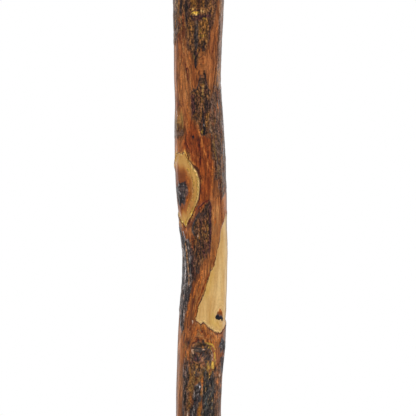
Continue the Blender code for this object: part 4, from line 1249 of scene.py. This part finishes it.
# The bent crook, in mm, from the collar's shoulder round to the nose
crook = {
    "footHeight": 803.3,
    "tenonRadius": 11.1,
    "tenonLength": 9.15,
    "shoulderChamfer": 0.8,
    "boreRadius": 4.3,
    "boreDepth": 35.15,
    "wearStart": 10.5,  # where the hand's wear starts above the shoulder, and where it is full
    "wearFull": 24.0,
    # Small knots: degrees round it, mm along it, half width and half length
    "knots": ((-25, 92, 1.9, 3.4), (150, 150, 2.4, 4.2), (60, 210, 1.6, 2.6)),
    "bent": {
        "Start": 9.95,
        "Neck Length": 52.0,
        "Bend Radius": 46.5,
        "Nose Length": 27.0,
        "Neck Radius": 12.6,
        "Top Radius": 12.2,
        "Nose Radius": 11.2,
        "Dome Length": 6.5,
        "Dome Share": 0.05,
        "Hand Wear": 0.16,
        "Grain Radius": 12.0,
        "Sides": 80,
        "Rows": 420,
    },
}


def bendCrook(tree, size):
    # A tube whose rows follow the neck, the half circle and the nose, and close in a dome.
    rod, x, y, z = startRod(tree, size, 1.0)
    neck, bend, dome = size["Neck Length"], size["Bend Radius"], size["Dome Length"]
    share, body = z + 0.5, 1.0 - size["Dome Share"]
    halfTurn = bend * math.pi
    straight = (neck - size["Start"]) + halfTurn + (size["Nose Length"] - dome)
    walked = share.math("DIVIDE", body, clamp=True) * straight
    closing = (share - body).math("DIVIDE", size["Dome Share"], clamp=True) * (math.pi / 2)
    along = size["Start"] + walked + dome * closing.math("SINE")
    pastNeck = along - neck
    lean = (pastNeck / bend).math("MINIMUM", math.pi).math("MAXIMUM", 0.0)
    sine, cosine = lean.math("SINE"), lean.math("COSINE")
    drop = (pastNeck - halfTurn).math("MAXIMUM", 0.0)
    middleX = bend * (1.0 - cosine)
    middleZ = bend * sine + (along.math("MINIMUM", neck) - drop)
    early = lean * (2 / math.pi)
    late = (early - 1.0).math("MAXIMUM", 0.0)
    change = size["Top Radius"] - size["Neck Radius"]
    radius = change * early.math("MINIMUM", 1.0) + size["Neck Radius"]
    radius = (size["Nose Radius"] - size["Top Radius"]) * late + radius
    grain = combine(tree, x * size["Grain Radius"], y * size["Grain Radius"], along)
    bumps = (grain.noise(3, 0.12, 2, 0.5) - 0.5) * size["Hand Wear"]
    radius = bumps * along.spread(crook["wearStart"], crook["wearFull"]) + radius
    radius = radius * closing.math("COSINE").math("MAXIMUM", 0.0)
    across = radius * x
    bent = combine(tree, across * cosine + middleX, radius * y, middleZ - across * sine)
    inputs = {"Geometry": rod, "Name": "grain", "Value": grain}
    kind = {"data_type": "FLOAT_VECTOR", "domain": "POINT"}
    return moveTo(tree, addNode(tree, "GeometryNodeStoreNamedAttribute", inputs, **kind), bent)


def buildCrook(material):
    mesh = grownMesh("bentCrook", crook["bent"], material, bendCrook)
    bm = bmesh.new()
    bm.from_mesh(mesh)
    foot = crook["footHeight"]
    bmesh.ops.translate(bm, verts=bm.verts, vec=(0, 0, foot * mm))
    low = min(bm.faces, key=lambda face: (-len(face.verts), face.calc_center_median().x))
    bmesh.ops.delete(bm, geom=[low], context="FACES_ONLY")
    bmesh.ops.remove_doubles(bm, verts=bm.verts, dist=0.002 * mm)
    grain = bm.verts.layers.float_vector["grain"]
    rim = [edge for edge in bm.edges if edge.is_boundary]
    steps = (
        (crook["bent"]["Neck Radius"] - crook["shoulderChamfer"], crook["tenonLength"]),
        (crook["tenonRadius"], crook["tenonLength"]),
        (crook["tenonRadius"], 0),
        (crook["boreRadius"], 0),
        (crook["boreRadius"], crook["boreDepth"]),
    )
    sharp = []
    for radius, height in steps:
        sharp += rim
        grown = bmesh.ops.extrude_edge_only(bm, edges=rim)["geom"]
        fresh = {item for item in grown if isinstance(item, bmesh.types.BMVert)}
        edges = [item for item in grown if isinstance(item, bmesh.types.BMEdge)]
        rim = [edge for edge in edges if set(edge.verts) <= fresh]
        for vert in fresh:
            flat = vert.co.xy.normalized() * radius
            vert.co = (flat.x * mm, flat.y * mm, (foot + height) * mm)
            vert[grain] = (flat.x, flat.y, height)
    bmesh.ops.contextual_create(bm, geom=rim)
    bmesh.ops.recalc_face_normals(bm, faces=bm.faces)
    for face in bm.faces:
        face.smooth = True
    for edge in sharp + rim:
        edge.smooth = False
    bm.to_mesh(mesh)
    bm.free()
    addPiece("bentCrook", mesh, material, "crook_handle", "stick")


# The threaded stud inside the joint, in mm
studSizes = {
    "Length": 70.0,
    "Outer Radius": 4.0,
    "Thread Pitch": 1.25,
    "Thread Depth": 0.68,
    "End Chamfer": 0.8,
    "Sides": 40,
    "Rows": 560,
}
jointMiddle = 803.15  # mm, where the two timbers meet


def threadStud(tree, size):
    # A rod whose radius follows a thread wound along it.
    rod, x, y, z = startRod(tree, size, size["Length"])
    phase = (z / size["Thread Pitch"] - y.math("ARCTAN2", x) / fullTurn).math("FRACT")
    wave = (phase * 2.0 - 1.0).math("ABSOLUTE").spread(0.12, 0.9)
    root = size["Outer Radius"] - size["Thread Depth"]
    left = size["Length"] * 0.5 - z.math("ABSOLUTE")
    chamfered = left + (size["Outer Radius"] - size["End Chamfer"])
    radius = (wave * size["Thread Depth"] + root).math("MINIMUM", chamfered)
    return moveTo(tree, rod, combine(tree, x * radius, y * radius, z))


def buildStud(material):
    mesh = grownMesh("threadedStud", studSizes, material, threadStud)
    for vert in mesh.vertices:
        vert.co.z += jointMiddle * mm
    addPiece("threadedStud", mesh, material, "joint_stud", "stick")


def sectionOf(node):
    # The outline of a turned node on its +X side, as (radius, height) points in order.
    links = {}
    mesh = node.data
    for edge in mesh.edges:
        a, b = (mesh.vertices[i].co / mm for i in edge.vertices)
        if max(abs(a.y), abs(b.y)) < 0.01 and min(a.x, b.x) > -0.01:
            a, b = (round(a.x, 3), round(a.z, 3)), (round(b.x, 3), round(b.z, 3))
            links.setdefault(a, set()).add(b)
            links.setdefault(b, set()).add(a)
    first = min(links, key=lambda point: (len(links[point]), point))
    chain = [first]
    onward = sorted(links[first])
    while onward:
        chain.append(onward[0])
        onward = sorted(links[chain[-1]] - set(chain))
    closed = len(links[first]) > 1
    if not closed:
        chain = [(0, chain[0][1]), *chain, (0, chain[-1][1])]
    return np.array(chain), closed


def roundCorners(points, closed, rounding, steps=4):
    # Cuts every corner of a section with a short curve.
    rounded = []
    count = len(points)
    for i, corner in enumerate(points):
        if not closed and i in (0, count - 1):
            rounded.append(corner)
            continue
        before, after = points[i - 1] - corner, points[(i + 1) % count] - corner
        lengths = np.hypot(*before), np.hypot(*after)
        reach = min(rounding, 0.49 * min(lengths))
        start, end = corner + before / lengths[0] * reach, corner + after / lengths[1] * reach
        for t in np.linspace(0, 1, steps + 1):
            rounded.append((1 - t) ** 2 * start + 2 * t * (1 - t) * corner + t * t * end)
    return np.array(rounded)


hollowReach = 1.6  # mm up and down from a place, where what stands out makes it a hollow
deepestHollow = 3


def buildTurned(names, material, look, carve=None, extra=(), relief=None):
    # Turns the section of a CAD node again, finer and with rounded corners. carve changes the
    # section, extra adds turns, and relief gives mm to add outward.
    name, node, body, slot = names
    section, closed = sectionOf(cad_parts[node])
    section = carve(section) if carve else section
    section = roundCorners(section, closed, look["rounding"])
    turns = np.unique(np.concatenate((evenTurns(look["columns"]), extra)))
    radius, height = section.T[..., None]
    out = radius + (relief(turns, radius, height) if relief else 0 * turns)
    out = np.where(radius < 0.01, 0, out)
    faces = gridFaces(*out.shape, closed)
    mesh = newMesh(name, out * np.cos(turns), out * np.sin(turns), height + 0 * out, faces)

    # How far each place lies back behind what stands out near it
    near = np.abs(height - section[:, 1]) < hollowReach
    hollow = np.where(near, section[:, 0], 0).max(axis=1) - section[:, 0]
    addLayer(mesh, "hollow", np.repeat(np.minimum(hollow, deepestHollow), len(turns)))
    bm = bmesh.new()
    bm.from_mesh(mesh)
    bmesh.ops.remove_doubles(bm, verts=bm.verts, dist=0.001 * mm)
    bmesh.ops.recalc_face_normals(bm, faces=bm.faces)
    bm.to_mesh(mesh)
    bm.free()
    mesh.shade_smooth()
    addPiece(name, mesh, material, node, body)


# The turned brass collar, in mm
collar = {
    "rounding": 0.4,
    "columns": 120,
    "lines": (-2.6, -1.7, 1.7, 2.6),  # fine turned lines above and below its middle
    "lineDepth": 0.22,
    "lineWidth": 0.5,
}


def turnLines(section):
    # Fine lines in the collar's outer wall, the only long straight run on its outside.
    outside = section[:, 0].max() - 1.5
    fine = []
    for point, following in zip(section, np.roll(section, -1, axis=0)):
        fine.append(point)
        run = following[1] - point[1]
        if abs(run) > 5 and min(point[0], following[0]) > outside:
            way = np.sign(run)
            for line in sorted(collar["lines"], key=lambda place: way * place):
                for share, deep in ((-0.5, 0), (0, 1), (0.5, 0)):
                    height = jointMiddle + line + way * share * collar["lineWidth"]
                    fine.append((point[0] - deep * collar["lineDepth"], height))
    return np.array(fine)


def buildCollar(material):
    names = ("turnedCollar", "joint_collar", "stick", "collar_brass")
    buildTurned(names, material, collar, carve=turnLines)


# The rubber ferrule, in mm
ferrule = {
    "rounding": 0.45,
    "columns": 120,
    "partingTurn": -58,  # degrees, where the mould's two halves met
    "partingRise": 0.12,
    "partingWidth": 0.45,
    "wearHeight": 2.5,
    "wear": 0.18,
    "socketReach": 11.0,  # places nearer to the axis belong to the socket
}
parting = math.radians(ferrule["partingTurn"])


def mouldAndWear(turns, radius, height):
    # The line where the mould's halves met, and chips worn off the edge of the sole.
    away = np.abs(np.sin(turns - parting)) * radius
    line = ferrule["partingRise"] * np.clip(1 - away / ferrule["partingWidth"], 0, 1)
    low = np.clip(1 - height / ferrule["wearHeight"], 0, 1)
    chips = np.sin(turns * 7) * np.sin(turns * 17 + 2) * 0.5 + np.sin(turns * 3 + 1) * 0.5
    worn = -ferrule["wear"] * low * np.clip(0.4 + chips, 0, 1)
    return np.where(radius > ferrule["socketReach"], line * (height > 1) + worn, 0)


def buildFerrule(material):
    names = ("mouldedFerrule", "tip_ferrule", "ferrule", "ferrule_rubber")
    beside = np.radians((-1.6, -0.8, 0, 0.8, 1.6))
    extra = np.concatenate((parting + beside, parting + math.pi + beside)) % fullTurn
    buildTurned(names, material, ferrule, extra=extra, relief=mouldAndWear)


# The pressed washer, in mm
washer = {"rounding": 0.2, "columns": 96}


def buildWasher(material):
    names = ("pressedWasher", "ferrule_washer", "ferrule", "washer_steel")
    buildTurned(names, material, washer)


def startMaterial(name):
    # A new material with the places on the piece in mm.
    material = bpy.data.materials.new(name)
    tree = emptyTree(material)
    place = addNode(tree, "ShaderNodeTexCoord", output="Object")
    return material, tree, place.times((1 / mm, 1 / mm, 1 / mm))


def finishMaterial(tree, colour, rough, height, waves, extra):
    inputs = {"Base Color": colour, "Roughness": rough, "Normal": bumped(tree, height, *waves)}
    shader = addNode(tree, "ShaderNodeBsdfPrincipled", inputs | extra)
    addNode(tree, "ShaderNodeOutputMaterial", (shader,))


brassLook = {"tarnish": (92, 56, 28), "dull": (196, 140, 74), "bright": (248, 200, 120)}


def agedBrass():
    material, tree, place = startMaterial("agedBrass")
    fine = place.noise(1, 1.4, 3, 0.6)
    turning = place.times((0.03, 0.03, 1)).noise(1, 5.0, 2, 0.5)
    scratch = place.times((1, 1, 0.25)).thinLines(0.25, 0.35, 0.012, 1.5)
    grime = (fine * 0.5 + readLayer(tree, "hollow")).spread(0.35, 1.0)
    tones = (0.30, brassLook["dull"]), (0.62, brassLook["bright"])
    metal = place.noise(1, 0.16, 4, 0.6).ramp(*tones)
    metal = metal.mixed(grime * 0.8, (*rgb(brassLook["tarnish"], haze=0), 1))
    rough = grime * 0.25 + fine.spread(0.3, 0.7, 0.20, 0.40)
    height = scratch * -0.6 + turning
    finishMaterial(tree, metal, rough, height, (0.25, 0.05), {"Metallic": 1.0})
    return material


zincLook = {
    "tones": ((0.3, (150, 150, 158)), (0.5, (192, 192, 190)), (0.7, (206, 200, 180))),
    "spots": (0.12, 0.10, 0.08, 1),
}


def zincSteel(name, rings):
    # Zinc-plated steel. rings is how fine the marks of the lathe or the press are, round the axis.
    material, tree, place = startMaterial(name)
    cloud, fine = place.noise(1, 0.35, 4, 0.6), place.noise(1, 2.5, 3, 0.6)
    ring = combine(tree, place.times((1, 1, 0)).length()).noise(1, rings, 3, 0.7)
    metal = cloud.ramp(*zincLook["tones"])
    metal = metal.mixed(fine.spread(0.66, 0.74, 0.0, 0.5), zincLook["spots"])
    rough = cloud.spread(0.3, 0.7, 0.22, 0.42)
    finishMaterial(tree, metal, rough, fine * 0.4 + ring, (0.3, 0.05), {"Metallic": 1.0})
    return material


rubberLook = {"black": (34, 34, 36), "worn": (62, 60, 60), "dust": (122, 112, 98)}


def mouldedRubber():
    material, tree, place = startMaterial("mouldedRubber")
    fine = place.noise(1, 1.8, 4, 0.7)
    height = place.split()[2]
    tones = (0.35, rubberLook["black"]), (0.7, rubberLook["worn"])
    rubber = place.noise(1, 0.12, 4, 0.6).ramp(*tones)
    scuffed = (fine * 6.0 + height).spread(7.0, 2.0, 0.0, 0.5)
    dust = (fine * 0.8 + readLayer(tree, "hollow")).spread(0.8, 1.7, 0.0, 0.35)
    soiled = rubber.mixed(scuffed.math("MAXIMUM", dust), (*rgb(rubberLook["dust"], haze=0), 1))
    rough = fine.spread(0.3, 0.7, 0.58, 0.80)
    finishMaterial(tree, soiled, rough, fine, (0.4, 0.12), {"Specular IOR Level": 0.4})
    return material


studio = {
    "photoMiddle": 3.75,  # mm, where the camera looks, towards +X
    "photoHeight": 169.3,  # mm
    "photoWidth": 208,  # mm seen across the picture
    "lens": 500,  # mm
    "lampDistance": 1.6,  # m, as all the sizes of the lamps
    "lampHeight": 1.8,
    "lampTilt": 85,  # degrees from looking straight down
    # Each row is: name, degrees round from the camera, power in W, width, height of its middle,
    # and whether it shows in the lacquer.
    "lamps": (
        ("leftSoftbox", -62, 15, 1.2, 0.75, False), ("rightSoftbox", 62, 15, 1.2, 0.75, False),
        ("leftRim", -138, 2.2, 0.6, 0.6, True), ("rightRim", 138, 2.2, 0.6, 0.6, True),
    ),
    "worldLight": 0.62,
    "mirrorLevel": 0.22,  # how bright the studio shows in the lacquer, level and from above
    "mirrorAbove": 0.9,
    "mirrorRise": (0.1, 0.7),  # between which heights of a view the one turns into the other
    "floorRadius": 1.2,  # m
    "floorFade": (0.35, 0.95),  # shares of its radius between which it turns white
    "floorGap": 0.2,  # mm under the ferrule
    "floorColour": (0.86, 0.86, 0.86, 1),
}


def addCamera(scene):
    camera = bpy.data.cameras.new("camera")
    camera.lens = studio["lens"]
    camera.sensor_width = 36
    camera.clip_end = 100
    away = studio["photoWidth"] * studio["lens"] / camera.sensor_width
    eye = addObject("camera", camera)
    eye.location = (studio["photoMiddle"] * mm, -away * mm, studio["photoHeight"] * mm)
    eye.rotation_euler = (math.radians(90), 0, 0)
    scene.camera = eye


def addWorld(scene):
    # White to the camera. In the lacquer it is dim level with the cane and bright from above.
    world = bpy.data.worlds.new("studio")
    tree = emptyTree(world)
    path = addNode(tree, "ShaderNodeLightPath")
    rise = addNode(tree, "ShaderNodeTexCoord", output="Generated").split()[2]
    mirror = rise.spread(*studio["mirrorRise"], studio["mirrorLevel"], studio["mirrorAbove"])
    inputs = {0: path.also("Is Glossy Ray"), 2: studio["worldLight"], 3: mirror}
    light = addNode(tree, "ShaderNodeMix", inputs)
    clear = path.also("Is Camera Ray").math("MAXIMUM", path.also("Is Transmission Ray"))
    strength = addNode(tree, "ShaderNodeMix", {0: clear, 2: light, 3: 1.0})
    inputs = {"Color": (1, 1, 1, 1), "Strength": strength}
    addNode(tree, "ShaderNodeOutputWorld", (addNode(tree, "ShaderNodeBackground", inputs),))
    scene.world = world


def addLamp(name, degrees, power, width, height, mirrored):
    light = bpy.data.lights.new(name, "AREA")
    light.shape = "RECTANGLE"
    light.size = width
    light.size_y = studio["lampHeight"]
    light.energy = power
    lamp = addObject(name, light)
    turn, reach = math.radians(degrees), studio["lampDistance"]
    lamp.location = (reach * math.sin(turn), -reach * math.cos(turn), height)
    lamp.rotation_euler = (math.radians(studio["lampTilt"]), 0, turn)
    lamp.visible_camera = False
    lamp.visible_glossy = mirrored


def addFloor():
    # A pale floor that takes shadows and turns to the world's white towards its edge.
    radius = studio["floorRadius"]
    bm = bmesh.new()
    bmesh.ops.create_circle(bm, cap_ends=True, radius=radius, segments=96)
    bmesh.ops.translate(bm, verts=bm.verts, vec=(0, 0, -studio["floorGap"] * mm))
    mesh = bpy.data.meshes.new("floor")
    bm.to_mesh(mesh)
    bm.free()
    material = bpy.data.materials.new("paleFloor")
    tree = emptyTree(material)
    away = addNode(tree, "ShaderNodeTexCoord", output="Object").length()
    edge = away.spread(*(radius * share for share in studio["floorFade"]))
    paint = addNode(tree, "ShaderNodeBsdfDiffuse", {"Color": studio["floorColour"]})
    seen = addNode(tree, "ShaderNodeLightPath", output="Is Camera Ray")
    white = addNode(tree, "ShaderNodeEmission", {"Color": (1, 1, 1, 1), "Strength": seen})
    blend = addNode(tree, "ShaderNodeMixShader", (edge, paint, white))
    addNode(tree, "ShaderNodeOutputMaterial", (blend,))
    mesh.materials.append(material)
    floor = addObject("floor", mesh)


def buildStudio():
    scene = bpy.context.scene
    scene.view_settings.view_transform = "Standard"
    addCamera(scene)
    addWorld(scene)
    for lamp in studio["lamps"]:
        addLamp(*lamp)
    addFloor()
    print("studio: camera, world, four lamps and the floor")


buildShaft(stainedWood("knottyShaftWood", True))
buildCrook(stainedWood("bentCrookWood", False, crook["knots"]))
buildCollar(agedBrass())
buildStud(zincSteel("studSteel", 2.0))
buildFerrule(mouldedRubber())
buildWasher(zincSteel("washerSteel", 6.0))
buildStudio()
